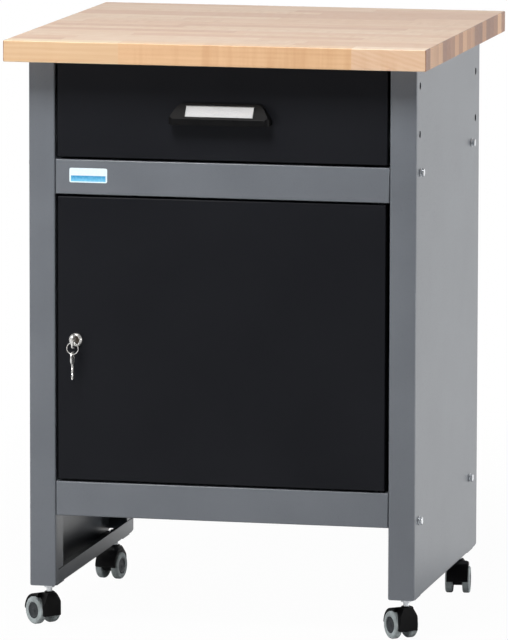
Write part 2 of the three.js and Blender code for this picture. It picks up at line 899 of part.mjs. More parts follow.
function lockPlug() {
  const face = rosetteFace + plugRecess;
  const shoulder = camNear - seatGap;
  const core = bar('y', plugDiameter / 2, [0, 0], face, shoulder, roundSegments);
  const half = camSeat / 2;
  const screwFoot = camFar + seatGap;
  const seat = block([-half, shoulder - overrun, -half], [half, screwFoot, half]);
  const screw = bar('y', camScrew / 2, [0, 0], screwFoot, screwFoot + camScrewHeight);
  const keyEnd = rosetteFace - keyStandoff + bladeLength;
  const halfX = keyThickness / 2 + keywayGap;
  const halfZ = bladeWidth / 2 + keywayGap;
  const keyway = block([-halfX, face - overrun, -halfZ], [halfX, keyEnd + keywayGap, halfZ]);
  return geometryOf(joined([core, seat, screw]).subtract(keyway));
}

// The cam hangs below the key's axis and swings up behind the leg to lock.
function lockCam() {
  const half = camWidth / 2;
  const outline = new THREE.Shape();
  outline.absarc(0, 0, half, 0, Math.PI, false);
  outline.lineTo(-half, half - camReach);
  outline.absarc(0, half - camReach, half, Math.PI, 2 * Math.PI, false);
  const plate = extruded('y', outline, camNear, camFar, smallSegments / 2);
  const seat = camSeat / 2 + seatGap;
  const hole = block([-seat, camNear - overrun, -seat], [seat, camFar + overrun, seat]);
  return geometryOf(plate.subtract(hole));
}

// A key lies along Y, with its bow ending and its blade starting at y = 0.
function key() {
  const halfBow = bowWidth / 2;
  const half = bladeWidth / 2;
  const outline = roundedRectangle([-bowLength, -halfBow], [0, halfBow], Array(4).fill(bowCorner));
  const side = keyThickness / 2;
  const bow = extruded('x', outline, -side, side, bowFacets);
  const hole = bar('x', bowHole / 2, [bowHoleInset - bowLength, 0], -side - overrun, side + overrun);
  const edge = [[-bowCorner, -half], [bittingPitch, -half]];
  for (let place = bittingPitch; place + bittingPitch < bladeLength; place += bittingPitch) {
    edge.push([place + bittingPitch / 2, -half + bittingDepth], [place + bittingPitch, -half]);
  }
  const blade = polygon([
    ...edge,
    [bladeLength - bladeTip, -half],
    [bladeLength, 0],
    [bladeLength - bladeTip, half],
    [-bowCorner, half],
  ]);
  return geometryOf(bow.subtract(hole).add(extruded('x', blade, -side, side)));
}

function keyRing() {
  const ring = new THREE.TorusGeometry(ringDiameter / 2, ringWire / 2, smallSegments / 2, roundSegments);
  return geometryOf(solidOf(ring.rotateX(Math.PI / 2)));
}

// Castors. One stands with its stem on x = y = 0 and trails along +X, its axle along Y.

function castorStem() {
  const radius = stemDiameter / 2;
  const hexTop = castorHeight - seatGap;
  const hexFoot = hexTop - stemHexHeight;
  const threadTop = panelBottom + panelSheet + weldNutHeight + stemEnd;
  return geometryOf(joined([
    bar('z', radius, [0, 0], collarHeight - stemEngagement, threadTop),
    hexagon('z', stemHexAcross, [0, 0], hexFoot, hexTop),
  ]));
}

// Seen from the side, the hood falls from the collar in a straight slope to its arc round the axle,
// and swells out in front.
function hoodSide() {
  const collar = collarDiameter / 2;
  const toRear = Math.asin((hoodRearFloor - axleHeight) / hoodRadius);
  const toFloor = Math.PI + Math.asin((axleHeight - hoodFloor) / hoodRadius);
  const front = trail - hoodRadius;
  const outline = new THREE.Shape();
  outline.absarc(trail, axleHeight, hoodRadius, toRear, Math.PI / 2, false);
  outline.lineTo(collar, axleHeight + hoodRadius);
  outline.lineTo(collar, hoodTop);
  outline.lineTo(-collar, hoodTop);
  outline.quadraticCurveTo(front - hoodBulge, (hoodTop + axleHeight) / 2, front, axleHeight);
  outline.absarc(trail, axleHeight, hoodRadius, Math.PI, toFloor, false);
  outline.lineTo(trail + wheelDiameter / 2 - hoodRearFloor + hoodFloor, hoodFloor);
  return outline;
}

// Seen from the front, it narrows from its full width at a shoulder to the collar.
function hoodFront(shoulder, swell) {
  const half = hoodWidth / 2;
  const collar = collarDiameter / 2;
  const outline = new THREE.Shape();
  outline.moveTo(-half + hoodFootCorner, hoodFloor);
  outline.lineTo(half - hoodFootCorner, hoodFloor);
  outline.lineTo(half, hoodFloor + hoodFootCorner);
  outline.lineTo(half, shoulder);
  outline.quadraticCurveTo(half, swell, collar, hoodTop);
  outline.lineTo(-collar, hoodTop);
  outline.quadraticCurveTo(-half, swell, -half, shoulder);
  outline.lineTo(-half, hoodFloor + hoodFootCorner);
  return outline;
}

function castorHood() {
  const half = hoodWidth / 2;
  const front = trail - hoodRadius;
  const plan = roundedRectangle(
    [front - hoodBulge, -half],
    [trail + hoodRadius, half],
    [hoodCorner, 0, 0, hoodCorner],
  );
  const neck = collarDiameter / 2;
  const shield = hoodFront(shieldShoulder, shieldSwell);
  const fenders = hoodFront(fenderShoulder, fenderSwell);
  const outline = extruded('x', shield, front - hoodBulge, neck + overrun, hoodFacets / 2)
    .add(extruded('x', fenders, neck, trail + hoodRadius, hoodFacets / 2));
  const shell = extruded('y', hoodSide(), -half, half, hoodFacets)
    .intersect(outline)
    .intersect(extruded('z', plan, hoodFloor, hoodTop, hoodFacets / 2));
  const collar = bar('z', neck, [0, 0], fenderShoulder, collarHeight, roundSegments);
  const pocketInside = wheelSpacing / 2 - runGap;
  const pocketRadius = wheelDiameter / 2 + hoodClearance;
  const pockets = [-1, 1].map((sign) => {
    const [from, to] = [sign * pocketInside, sign * hoodWidth].sort((a, b) => a - b);
    return bar('y', pocketRadius, [trail, axleHeight], from, to, roundSegments);
  });
  const boreFoot = collarHeight - stemEngagement - runGap;
  const bore = bar('z', stemDiameter / 2 + runGap, [0, 0], boreFoot, collarHeight + overrun);
  const axleEnd = wheelSpacing / 2 + wheelWidth - axleEndGap - seatGap;
  const axle = bar('y', axleDiameter / 2, [trail, axleHeight], -axleEnd, axleEnd);
  return geometryOf(cutBy(shell.add(collar), [...pockets, bore]).add(axle));
}

// Hub and tread of the wheel on the +Y side, turned round the axle.
function castorHub() {
  const near = wheelSpacing / 2;
  const far = near + wheelWidth - seatGap;
  const bore = axleDiameter / 2 + runGap;
  const boreEnd = near + wheelWidth - axleEndGap;
  const rim = hubDiameter / 2 - seatGap;
  return geometryOf(turned('y', [
    [0, boreEnd],
    [bore, boreEnd],
    [bore, near],
    [rim, near],
    [rim, far - hubChamfer],
    [rim - hubChamfer, far],
    [rim / 2, far - hubDish],
    [0, far - hubDish],
  ], roundSegments));
}

function castorTread() {
  const near = wheelSpacing / 2;
  const far = near + wheelWidth;
  const inner = hubDiameter / 2;
  const outer = wheelDiameter / 2;
  const cut = 1 - Math.SQRT1_2;
  return geometryOf(turned('y', [
    [inner, near],
    [outer - wheelInnerEdge, near],
    [outer - wheelInnerEdge * cut, near + wheelInnerEdge * cut],
    [outer, near + wheelInnerEdge],
    [outer, far - wheelEdge],
    [outer - wheelEdge * cut, far - wheelEdge * cut],
    [outer - wheelEdge, far],
    [inner, far - seatGap],
    [inner, near],
  ], wheelSegments));
}

function castor(place, x, y) {
  const group = new THREE.Group();
  group.position.set(x, y, 0);
  group.rotation.z = THREE.MathUtils.degToRad(castorYaw[place]);
  group.add(piece(`castor_stem_${place}`, 'zinc', castorStem()));
  group.add(piece(`castor_hood_${place}`, 'blackPlastic', castorHood()));
  const hub = castorHub();
  const tread = castorTread();
  for (const [sideName, turn] of [['a', 0], ['b', Math.PI]]) {
    const wheel = new THREE.Group();
    wheel.position.set(trail, 0, axleHeight);
    wheel.rotation.z = turn;
    wheel.add(piece(`wheel_hub_${place}_${sideName}`, 'hubPlastic', hub));
    wheel.add(piece(`wheel_tread_${place}_${sideName}`, 'greyTread', tread));
    group.add(wheel);
  }
  return group;
}

// The whole bench

const bench = new THREE.Group();
bench.add(piece('worktop', 'beech', worktop()));
bench.add(piece('side_panel_left', 'greyPaint', sidePanel(true)));
bench.add(piece('side_panel_right', 'greyPaint', mirrored(sidePanel(false))));
bench.add(piece('upper_rail', 'greyPaint', rail(upperRailBottom, upperBolt, 'bottom')));
bench.add(piece('lower_rail', 'greyPaint', rail(lowerRailBottom, lowerBolt, 'top')));
bench.add(piece('cupboard_ceiling', 'greyPaint', ceilingPan()));
bench.add(piece('cupboard_floor', 'greyPaint', floorPan()));
bench.add(piece('back_panel', 'greyPaint', backPanel()));
bench.add(...frameBolts());

for (const [name, member] of Object.entries({
  fixed: fixedMember(),
  middle: middleMember(),
  inner: innerMember(),
})) {
  bench.add(piece(`runner_${name}_left`, 'galvanised', member));
  bench.add(piece(`runner_${name}_right`, 'galvanised', mirrored(member)));
}

const drawer = new THREE.Group();
drawer.add(piece('drawer_front', 'blackPaint', drawerFront()));
drawer.add(piece('drawer_box', 'blackPaint', drawerBox()));
const pullMesh = piece('drawer_pull', 'blackPlastic', pull());
const pullFoot = drawerFrontBottom + (drawerFrontHeight - pullHeight) / 2 - pullDrop;
pullMesh.position.set(0, cabinetFront - seatGap, pullFoot);
drawer.add(pullMesh);
bench.add(drawer);

bench.add(piece('door', 'blackPaint', door()));
const pinFoot = railSheet + seatGap + pinHeadHeight;
const lowerPin = piece('hinge_pin_lower', 'zinc', geometryOf(hingePin()));
lowerPin.position.set(pinX, pinY, lowerRailTop - pinFoot);
const upperPin = piece('hinge_pin_upper', 'zinc', geometryOf(hingePin()));
upperPin.position.set(pinX, pinY, upperRailBottom + pinFoot);
upperPin.rotation.x = Math.PI;
bench.add(lowerPin, upperPin);

const lock = new THREE.Group();
lock.position.set(lockX, cabinetFront, lockZ);
lock.add(piece('lock_housing', 'nickel', lockHousing()));
lock.add(piece('lock_nut', 'zinc', lockNut()));
lock.add(piece('lock_plug', 'nickel', lockPlug()));
lock.add(piece('lock_cam', 'zinc', lockCam()));
const keyMesh = piece('key', 'nickel', key());
keyMesh.position.y = rosetteFace - keyStandoff;
lock.add(keyMesh);

// The ring hangs in the hole of the key's bow, and the spare key hangs on the ring.
const wireDrop = (bowHole - ringWire) / 2 - seatGap;
const ringMesh = piece('key_ring', 'nickel', keyRing());
ringMesh.position.set(0, keyMesh.position.y - bowLength + bowHoleInset, -wireDrop - ringDiameter / 2);
const spareKey = piece('spare_key', 'nickel', key());
spareKey.rotation.x = -Math.PI / 2;
spareKey.position.set(
  0,
  ringMesh.position.y,
  ringMesh.position.z - ringDiameter / 2 - wireDrop - bowLength + bowHoleInset,
);
lock.add(ringMesh, spareKey);
bench.add(lock);

bench.add(castor('front_left', -castorX, frontCastor));
bench.add(castor('front_right', castorX, frontCastor));
bench.add(castor('rear_left', -castorX, rearCastor));
bench.add(castor('rear_right', castorX, rearCastor));

export default bench;
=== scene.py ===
import json
import math

import bmesh
import bpy
from mathutils import Matrix, Vector


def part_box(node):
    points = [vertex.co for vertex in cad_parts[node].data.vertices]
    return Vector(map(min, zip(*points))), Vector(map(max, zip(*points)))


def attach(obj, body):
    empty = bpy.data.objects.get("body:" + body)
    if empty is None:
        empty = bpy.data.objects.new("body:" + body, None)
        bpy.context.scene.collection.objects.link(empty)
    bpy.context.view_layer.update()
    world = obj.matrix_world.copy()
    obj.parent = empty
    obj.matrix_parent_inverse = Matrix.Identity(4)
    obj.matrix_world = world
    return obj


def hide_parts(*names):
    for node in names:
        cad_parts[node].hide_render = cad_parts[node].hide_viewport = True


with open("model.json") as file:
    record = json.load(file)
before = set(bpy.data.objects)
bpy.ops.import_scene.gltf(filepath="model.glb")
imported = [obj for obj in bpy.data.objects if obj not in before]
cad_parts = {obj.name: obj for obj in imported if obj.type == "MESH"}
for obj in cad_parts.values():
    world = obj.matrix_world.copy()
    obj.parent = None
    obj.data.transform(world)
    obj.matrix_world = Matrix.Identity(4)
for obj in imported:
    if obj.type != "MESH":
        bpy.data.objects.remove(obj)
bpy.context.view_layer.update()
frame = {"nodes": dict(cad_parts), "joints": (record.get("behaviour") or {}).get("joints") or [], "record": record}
bodyOf = {node: body for body, nodes in frame["record"]["behaviour"]["bodies"].items() for node in nodes}
jointOf = {joint["name"]: joint for joint in frame["joints"]}
mm = 0.001


def inMm(**sizes):
    return {key: tuple(part * mm for part in size) if isinstance(size, tuple) else size * mm
            for key, size in sizes.items()}


def arithmetic(operation, swapped=False):
    def apply(wire, other):
        return wire.calc(operation, first=other) if swapped else wire.calc(operation, other)
    return apply


class Wire:
    def __init__(self, kit, socket):
        self.kit = kit
        self.socket = socket

    def other(self, output):  # another output of the node that made this one
        return Wire(self.kit, self.socket.node.outputs[output])

    def calc(self, operation, *others, first=None):
        values = [first, self, *others] if first is not None else [self, *others]
        return self.kit.node("ShaderNodeMath", {"operation": operation}, values)

    __add__ = arithmetic("ADD")
    __mul__ = arithmetic("MULTIPLY")
    __sub__ = arithmetic("SUBTRACT")
    __rsub__ = arithmetic("SUBTRACT", swapped=True)
    __truediv__ = arithmetic("DIVIDE")


class NodeKit:
    def __init__(self, tree):
        tree.nodes.clear()
        self.tree = tree

    def node(self, kind, settings=None, values=(), output=0):
        made = self.tree.nodes.new(kind)
        for key, value in (settings or {}).items():
            if key == "stops":
                self.fillRamp(made.color_ramp, value)
            else:
                setattr(made, key, value)
        for key, value in values.items() if isinstance(values, dict) else enumerate(values):
            if isinstance(value, Wire):
                self.tree.links.new(value.socket, made.inputs[key])
            else:
                made.inputs[key].default_value = value
        return Wire(self, made.outputs[output]) if len(made.outputs) else None

    def shape(self, kind, values, output=0):
        return self.node("GeometryNode" + kind, {}, values, output)

    def fillRamp(self, ramp, stops):
        while len(ramp.elements) < len(stops):
            ramp.elements.new(0.5)
        for element, (place, code) in zip(ramp.elements, stops):
            element.position = place
            element.color = shade(code)

    def place(self):
        return self.node("ShaderNodeTexCoord", output="Object")

    def stretched(self, place, scale):  # the pattern's own coordinates
        return self.node("ShaderNodeMapping", {"vector_type": "POINT"}, {"Vector": place, "Scale": scale})

    def parts(self, vector):
        first = self.node("ShaderNodeSeparateXYZ", {}, [vector])
        return first, first.other(1), first.other(2)

    def vector(self, x, y, z):
        return self.node("ShaderNodeCombineXYZ", {}, [x, y, z])

    def noise(self, place, scale, detail=2.0, rough=0.5):
        return self.node("ShaderNodeTexNoise", {}, {
            "Vector": place, "Scale": scale, "Detail": detail, "Roughness": rough})

    def ramp(self, factor, stops):
        return self.node("ShaderNodeValToRGB", {"stops": stops}, [factor])

    def mix(self, factor, first, second):
        first, second = (shade(tone) if isinstance(tone, str) else tone for tone in (first, second))
        return self.node("ShaderNodeMix", {"data_type": "RGBA"}, {0: factor, 6: first, 7: second}, output=2)

    def spread(self, value, low, high, newLow=0.0, newHigh=1.0):  # one range mapped on another, clamped
        return self.node("ShaderNodeMapRange", {"clamp": True}, [value, low, high, newLow, newHigh])

    def cells(self, place, scale, output=0):
        return self.node("ShaderNodeTexVoronoi", {"feature": "F1"}, {"Vector": place, "Scale": scale}, output)

    def bump(self, height, strength, distance):
        return self.node("ShaderNodeBump", {}, {"Strength": strength, "Distance": distance, "Height": height})


def shade(code):  # a colour as a screen shows it, "#rrggbb", in linear light
    parts = [int(code[i:i + 2], 16) / 255 for i in (1, 3, 5)]
    return tuple(p / 12.92 if p <= 0.04045 else ((p + 0.055) / 1.055) ** 2.4 for p in parts) + (1.0,)


def kitOf(owner):
    owner.use_nodes = True
    return NodeKit(owner.node_tree)


def material(name, surface, look):
    made = bpy.data.materials.new(name)
    kit = kitOf(made)
    shader = kit.node("ShaderNodeBsdfPrincipled", {}, surface(kit, look))
    kit.node("ShaderNodeOutputMaterial", {}, {"Surface": shader})
    return made


# Finishes

def finished(kit, look, tone, grain, relief, span=(0.3, 0.7)):
    rough = look["rough"]  # one value, or the two that the grain moves between
    sockets = {
        "Base Color": kit.mix(tone, *look["tones"]) if "tones" in look else tone,
        "Roughness": kit.spread(grain, *span, *rough) if isinstance(rough, tuple) else rough,
        "Normal": kit.bump(relief, *look["bump"]),
    }
    steady = {"Specular IOR Level": "specular", "Metallic": "metallic", "Coat Weight": "coat"}
    return sockets | {socket: look[key] for socket, key in steady.items() if key in look}


def powderCoat(kit, look):
    place = kit.place()
    peel = kit.noise(place, look["peelScale"], 2.0)
    cloud = kit.noise(place, look["cloudScale"], 3.0)
    speck = kit.noise(place, look["peelScale"] * 2.3, 1.0)
    return finished(kit, look, kit.spread(cloud * 0.8 + speck * 0.2, 0.36, 0.64), peel, peel + speck * 0.4)


def mouldedPlastic(kit, look):
    place = kit.place()
    grain = kit.noise(place, look["grainScale"], 3.0, 0.6)
    cloud = kit.noise(place, look["cloudScale"], 2.0)
    return finished(kit, look, kit.spread(cloud, 0.35, 0.65), grain, grain)


def platedMetal(kit, look):
    place = kit.place()
    streak = kit.noise(kit.stretched(place, look["brushed"]), look["streakScale"], 3.0)
    cloud = kit.noise(place, look["cloudScale"], 3.0)
    return finished(kit, look, kit.spread(cloud * 0.6 + streak * 0.4, 0.35, 0.65), streak, streak)


def zincSpangle(kit, look):  # galvanised strip, with its large faint crystals
    place = kit.place()
    crystal = kit.parts(kit.cells(place, look["crystalScale"], output=1))[0]
    scratch = kit.noise(kit.stretched(place, (1.0, 0.04, 1.0)), look["scratchScale"], 2.0)
    return finished(kit, look, crystal, crystal * 0.5 + scratch * 0.5, scratch, (0.2, 0.8))


def treadRubber(kit, look):
    place = kit.place()
    grain = kit.noise(place, look["grainScale"], 4.0, 0.65)
    dust = kit.noise(place, look["dustScale"], 3.0)
    return finished(kit, look, kit.spread(dust, 0.38, 0.68), grain, grain)


def beechStaves(kit, look):
    # Staves run along X. Each is made of lengths with tones of their own, and its ends show at both sides.
    place = kit.place()
    x, y, z = kit.parts(place)
    row = (y + look["halfDepth"]) / look["stave"]
    rowNumber = row.calc("FLOOR")
    across = row.calc("FRACT")
    front = rowNumber.calc("LESS_THAN", 0.5)
    chance = kit.node("ShaderNodeTexWhiteNoise", {"noise_dimensions": "1D"}, {"W": rowNumber + look["seed"]})
    shift = front * look["frontShift"] + (1.0 - front) * chance * look["shiftShare"]
    run = (x + look["halfDepth"]) / look["length"] + shift
    runNumber = run.calc("FLOOR")
    along = run.calc("FRACT")
    cell = kit.vector(rowNumber, runNumber, look["seed"])
    chances = kit.node("ShaderNodeTexWhiteNoise", {"noise_dimensions": "3D"}, {"Vector": cell}, output=1)
    lot, slant, depth = kit.parts(chances)
    # the staves towards the back are a little redder
    tone = kit.ramp(lot - kit.spread(y, -0.1, 0.3, 0.0, look["backShare"]), look["staveTones"])
    # the three lengths of the front stave have tones of their own
    tone = kit.mix(front, tone, kit.ramp(runNumber * 0.5, look["frontTones"]))
    rightLot = front * runNumber.calc("GREATER_THAN", 1.5)
    # grain: drawn out along the stave, moved by the lot's own number and slightly off the stave's direction
    lean = x * ((1.0 - front) * (slant - 0.5) * look["slant"] + rightLot * look["frontSlant"])
    grainPlace = kit.vector(x + lot * 7.0, y + lot * 3.0 + lean * 0.4, z + lot * 11.0 + lean)
    slow, middling, fine = (kit.noise(kit.stretched(grainPlace, (run, cross, cross)), 1.0, 3.0, rough)
                            for run, cross, rough in look["grains"])
    figured = kit.node("ShaderNodeTexWave", {"wave_type": "BANDS", "bands_direction": "Z"}, {
        "Vector": kit.stretched(grainPlace, (1.2, 12.0, 46.0)), "Scale": 1.0, "Distortion": 5.0,
        "Detail": 2.0, "Detail Scale": 0.8}, output=1)
    grain = slow * 0.32 + middling * 0.36 + fine * 0.24 + figured * 0.08
    wood = kit.mix(kit.spread(grain, 0.34, 0.68, 0.0, look["grainShare"]), tone, look["dark"])
    # ripples across the grain, in patches
    ripple = kit.noise(kit.stretched(grainPlace, look["rippleSize"]), 1.0, 2.0, 0.5)
    patch = kit.spread(kit.noise(kit.stretched(grainPlace, (4.0, 6.0, 6.0)), 1.0, 1.0), 0.46, 0.62)
    wood = kit.mix(kit.spread(ripple, 0.45, 0.7, 0.0, look["rippleShare"]) * patch, wood, look["ripple"])
    # short dark flecks of the medullary rays
    fleck = kit.cells(kit.stretched(grainPlace, look["fleckSize"]), 1.0)
    sparse = kit.spread(depth, 0.2, 0.9)
    wood = kit.mix(kit.spread(fleck, 0.1, 0.24, look["fleckShare"], 0.0) * sparse, wood, look["fleck"])
    # sawn ends: darker, each stave with a tone of its own, and year rings round a centre somewhere near
    end = kit.spread(x.calc("ABSOLUTE"), look["halfDepth"] - topEdge, look["halfDepth"] - topEdge + 0.5 * mm)
    ringY = y - (rowNumber + 0.5) * look["stave"] + look["halfDepth"] + (slant - 0.5) * 0.12
    ringZ = z - look["height"] + 0.05 + depth * 0.05
    away = (ringY * ringY + ringZ * ringZ).calc("SQRT")
    ring = kit.spread((away * look["rings"] + slow * 0.8).calc("SINE"), -1.0, 1.0)
    endTone = kit.ramp(depth, look["endTones"])
    sawn = kit.mix(ring * 0.22 + kit.spread(across, 0.0, 1.0, 0.0, 0.2) * slant, endTone, look["endDark"])
    wood = kit.mix(end, wood, sawn)
    # glue lines between staves and between the lengths of one stave
    edge = across.calc("MINIMUM", 1.0 - across) * look["stave"]
    joint = along.calc("MINIMUM", 1.0 - along) * look["length"]
    glue = kit.spread(edge.calc("MINIMUM", joint + end), 0.0, look["glue"], look["glueShare"], 0.0)
    return finished(kit, look, kit.mix(glue, wood, look["glueTone"]), fine, fine * 0.6 + glue * -1.0)


def above(kit, value, limit, soft):  # 0 below the limit and 1 above it
    return kit.spread(value, limit - soft, limit + soft)


def labelWithPaintedHighlight(kit, look):  # blank paper strip; the grey strip along its upper edge is a painted highlight, standing for light on the clear cover's top edge
    fibre = kit.noise(kit.place(), 900.0, 3.0)
    # painted highlight: the paper is greyed along its upper edge where light catches the clear cover's top edge
    band = above(kit, kit.parts(kit.place())[2], look["bandFrom"], 0.2 * mm)
    paper = kit.mix(fibre, look["paperLow"], look["paperHigh"])
    return finished(kit, look, kit.mix(band, paper, look["band"]), fibre, fibre)


def badgeFilm(kit, look):  # plain sticker: white, with one pale blue field in its lower half
    x, z = kit.parts(kit.place())[::2]
    soft = 0.3 * mm
    lowerHalf = 1.0 - above(kit, z, look["fieldTop"], soft)
    inner = above(kit, z, look["fieldFoot"], soft)
    side = 1.0 - above(kit, (x - look["middle"]).calc("ABSOLUTE"), look["fieldHalf"], soft)
    field = kit.mix(kit.spread(z, look["fieldFoot"], look["fieldTop"]), look["pale"], look["blue"])
    film = kit.noise(kit.place(), 300.0, 2.0)
    return finished(kit, look, kit.mix(lowerHalf * inner * side, look["white"], field), film, film)


def clearFilm(kit, look):
    return {
        "Base Color": shade(look["tint"]),
        "Roughness": kit.spread(kit.noise(kit.place(), 120.0, 2.0), 0.3, 0.7, 0.08, 0.16),
        "Alpha": look["alpha"],
    }


topLow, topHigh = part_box("worktop")
railLow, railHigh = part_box("upper_rail")
pullLow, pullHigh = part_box("drawer_pull")

badge = inMm(left=-218.3, width=54.4, height=20.5, thickness=0.35, corner=2.4)
badge["foot"] = railLow.z + 16.9 * mm
topCorner, topEdge = 2.0 * mm, 1.6 * mm

looks = {
    "beech": ("beech", beechStaves, {
        "halfDepth": topHigh.y, "stave": 2 * topHigh.y / 20, "length": 330 * mm, "height": topHigh.z,
        "seed": 5.0, "shiftShare": 3.0, "frontShift": 0.5, "slant": 0.5, "frontSlant": 0.3, "backShare": 0.4,
        "staveTones": [(0.0, "#d6a988"), (0.2, "#e1b998"), (0.5, "#e6c5a5"), (0.8, "#e8c9ab"),
                       (1.0, "#ebcfb3")],
        "frontTones": [(0.0, "#f4dbb4"), (0.5, "#f6d2a8"), (1.0, "#fbe1c6")],
        "endTones": [(0.0, "#6b452f"), (0.2, "#845638"), (0.45, "#9c6d49"), (0.7, "#b5855c"),
                     (1.0, "#c69a72")],
        "endDark": "#4c2f22", "rings": 1900.0,
        "grains": [(2.4, 30.0, 0.55), (5.5, 105.0, 0.6), (14.0, 420.0, 0.6)], "grainShare": 0.5,
        "dark": "#cf9f75", "ripple": "#c28f62", "rippleShare": 0.3, "rippleSize": (95.0, 7.0, 7.0),
        "fleck": "#a9744a", "fleckShare": 0.35, "fleckSize": (150.0, 620.0, 620.0),
        "glue": 0.45 * mm, "glueShare": 0.45, "glueTone": "#9c6c45",
        "rough": (0.28, 0.4), "specular": 0.4, "bump": (0.25, 0.12 * mm)}),
    "greyPaint": ("grey_paint", powderCoat, {
        "tones": ("#5e6268", "#64686e"), "peelScale": 1100.0, "cloudScale": 9.0, "rough": (0.27, 0.39),
        "specular": 0.6, "bump": (0.12, 0.05 * mm)}),
    "blackPaint": ("black_paint", powderCoat, {
        "tones": ("#131418", "#16171b"), "peelScale": 1100.0, "cloudScale": 7.0, "rough": (0.36, 0.48),
        "specular": 0.13, "bump": (0.14, 0.05 * mm)}),
    "blackPlastic": ("black_plastic", mouldedPlastic, {
        "tones": ("#0b0b0c", "#101011"), "grainScale": 1600.0, "cloudScale": 60.0, "rough": (0.36, 0.48),
        "specular": 0.1, "bump": (0.25, 0.06 * mm)}),
    "hubPlastic": ("hub_plastic", mouldedPlastic, {
        "tones": ("#25282b", "#2e3135"), "grainScale": 1500.0, "cloudScale": 80.0, "rough": (0.42, 0.54),
        "specular": 0.4, "bump": (0.2, 0.05 * mm)}),
    "greyTread": ("grey_tread", treadRubber, {
        "tones": ("#898f90", "#9ba3a4"), "grainScale": 1300.0, "dustScale": 90.0, "rough": (0.6, 0.74),
        "specular": 0.35, "bump": (0.3, 0.06 * mm)}),
    "galvanised": ("galvanised", zincSpangle, {
        "tones": ("#9aa1a6", "#bcc2c6"), "crystalScale": 140.0, "scratchScale": 1200.0, "rough": (0.3, 0.46),
        "metallic": 1.0, "bump": (0.12, 0.02 * mm)}),
    "labelPaper": (None, labelWithPaintedHighlight, {
        # the darker grey tone and its height are the painted highlight of the clear cover's top edge
        "paperLow": "#a6a7a9", "paperHigh": "#b0b1b3", "band": "#77787a", "bandFrom": pullHigh.z - 4.6 * mm,
        "rough": 0.55, "bump": (0.1, 0.05 * mm)}),
    "badgeFilm": (None, badgeFilm, {
        "white": "#dcebf2", "pale": "#74c3e4", "blue": "#2488bb",
        "middle": badge["left"] + badge["width"] / 2, "fieldHalf": badge["width"] / 2 - 2.2 * mm,
        "fieldFoot": badge["foot"] + 1.6 * mm, "fieldTop": badge["foot"] + 9.8 * mm,
        "rough": (0.24, 0.3), "coat": 0.3, "bump": (0.05, 0.02 * mm)}),
    "clearFilm": (None, clearFilm, {"tint": "#ffffff", "alpha": 0.1}),
}
metals = {  # slot, tones, metallic, roughness, how far the streaks are drawn out, their scale, cloud scale, relief
    "zinc": ("zinc", ("#dfe3e7", "#f4f7fa"), 0.8, (0.13, 0.29), 0.15, 900.0, 120.0, 0.03 * mm),
    "burnished": ("zinc", ("#1c1c1e", "#2a2a2d"), 1.0, (0.43, 0.59), 0.2, 700.0, 150.0, 0.02 * mm),
    "nickel": ("nickel", ("#e6e4e0", "#f8f7f5"), 0.72, (0.15, 0.31), 0.2, 700.0, 150.0, 0.02 * mm),
    "plugMetal": ("nickel", ("#5f554c", "#766b61"), 0.8, (0.29, 0.45), 0.2, 700.0, 150.0, 0.02 * mm),
}
for metal, (slotName, tones, metallic, rough, drawn, streakScale, cloudScale, depth) in metals.items():
    looks[metal] = (slotName, platedMetal, {
        "tones": tones, "brushed": (1.0, 1.0, drawn), "streakScale": streakScale, "cloudScale": cloudScale,
        "metallic": metallic, "rough": rough, "bump": (0.12, depth)})


# Meshes

def linked(name, data):
    made = bpy.data.objects.new(name, data)
    bpy.context.scene.collection.objects.link(made)
    return made


def pieceOf(name, bm):
    mesh = bpy.data.meshes.new(name)
    bm.to_mesh(mesh)
    bm.free()
    return linked(name, mesh)


def newPiece(name, bm):
    bmesh.ops.remove_doubles(bm, verts=bm.verts, dist=1e-7)
    bmesh.ops.recalc_face_normals(bm, faces=bm.faces)
    return pieceOf(name, bm)


def baked(piece):  # its modifiers become its mesh
    bpy.context.view_layer.update()
    seen = piece.evaluated_get(bpy.context.evaluated_depsgraph_get())
    mesh = bpy.data.meshes.new_from_object(seen)
    piece.modifiers.clear()
    piece.data = mesh
    return piece


def filleted(corners, steps=6):
    # A closed outline. Each corner is (a, b) or (a, b, radius), and an arc takes the corner's place.
    points = []
    for i, (a, b, *rest) in enumerate(corners):
        here = Vector((a, b))
        if not rest or rest[0] <= 0:
            points.append(here)
            continue
        before = Vector(corners[i - 1][:2]) - here
        after = Vector(corners[(i + 1) % len(corners)][:2]) - here
        half = before.angle(after) / 2
        radius = min(rest[0], 0.499 * min(before.length, after.length) * math.tan(half))
        reach = radius / math.tan(half)
        start = here + before.normalized() * reach
        end = here + after.normalized() * reach
        centre = here + (before.normalized() + after.normalized()).normalized() * (radius / math.sin(half))
        turn = (start - centre).angle_signed(end - centre)
        for step in range(steps + 1):
            spin = Matrix.Rotation(-turn * step / steps, 2)
            points.append(centre + spin @ (start - centre))
    return [tuple(point) for point in points]


def rounded(low, high, radius, steps=6):  # a rectangle from corner to corner
    (a, b), (c, d) = low, high
    return filleted([(a, b, radius), (c, b, radius), (c, d, radius), (a, d, radius)], steps)


def polygon(sides, across, start=0.0):  # a regular one, from its width across flats
    reach = across / 2 / math.cos(math.pi / sides)
    turns = [start + 2 * math.pi * i / sides for i in range(sides)]
    return [(reach * math.cos(turn), reach * math.sin(turn)) for turn in turns]


axisPlace = {
    "x": lambda a, b, along: (along, a, b),
    "y": lambda a, b, along: (a, along, b),
    "z": lambda a, b, along: (a, b, along),
}


def prism(axis, outline, near, far):
    put = axisPlace[axis]
    bm = bmesh.new()
    first = [bm.verts.new(put(a, b, near)) for a, b in outline]
    second = [bm.verts.new(put(a, b, far)) for a, b in outline]
    bm.faces.new(first)
    bm.faces.new(second)
    for i in range(len(outline)):
        bm.faces.new((first[i - 1], first[i], second[i], second[i - 1]))
    return newPiece("prism", bm)


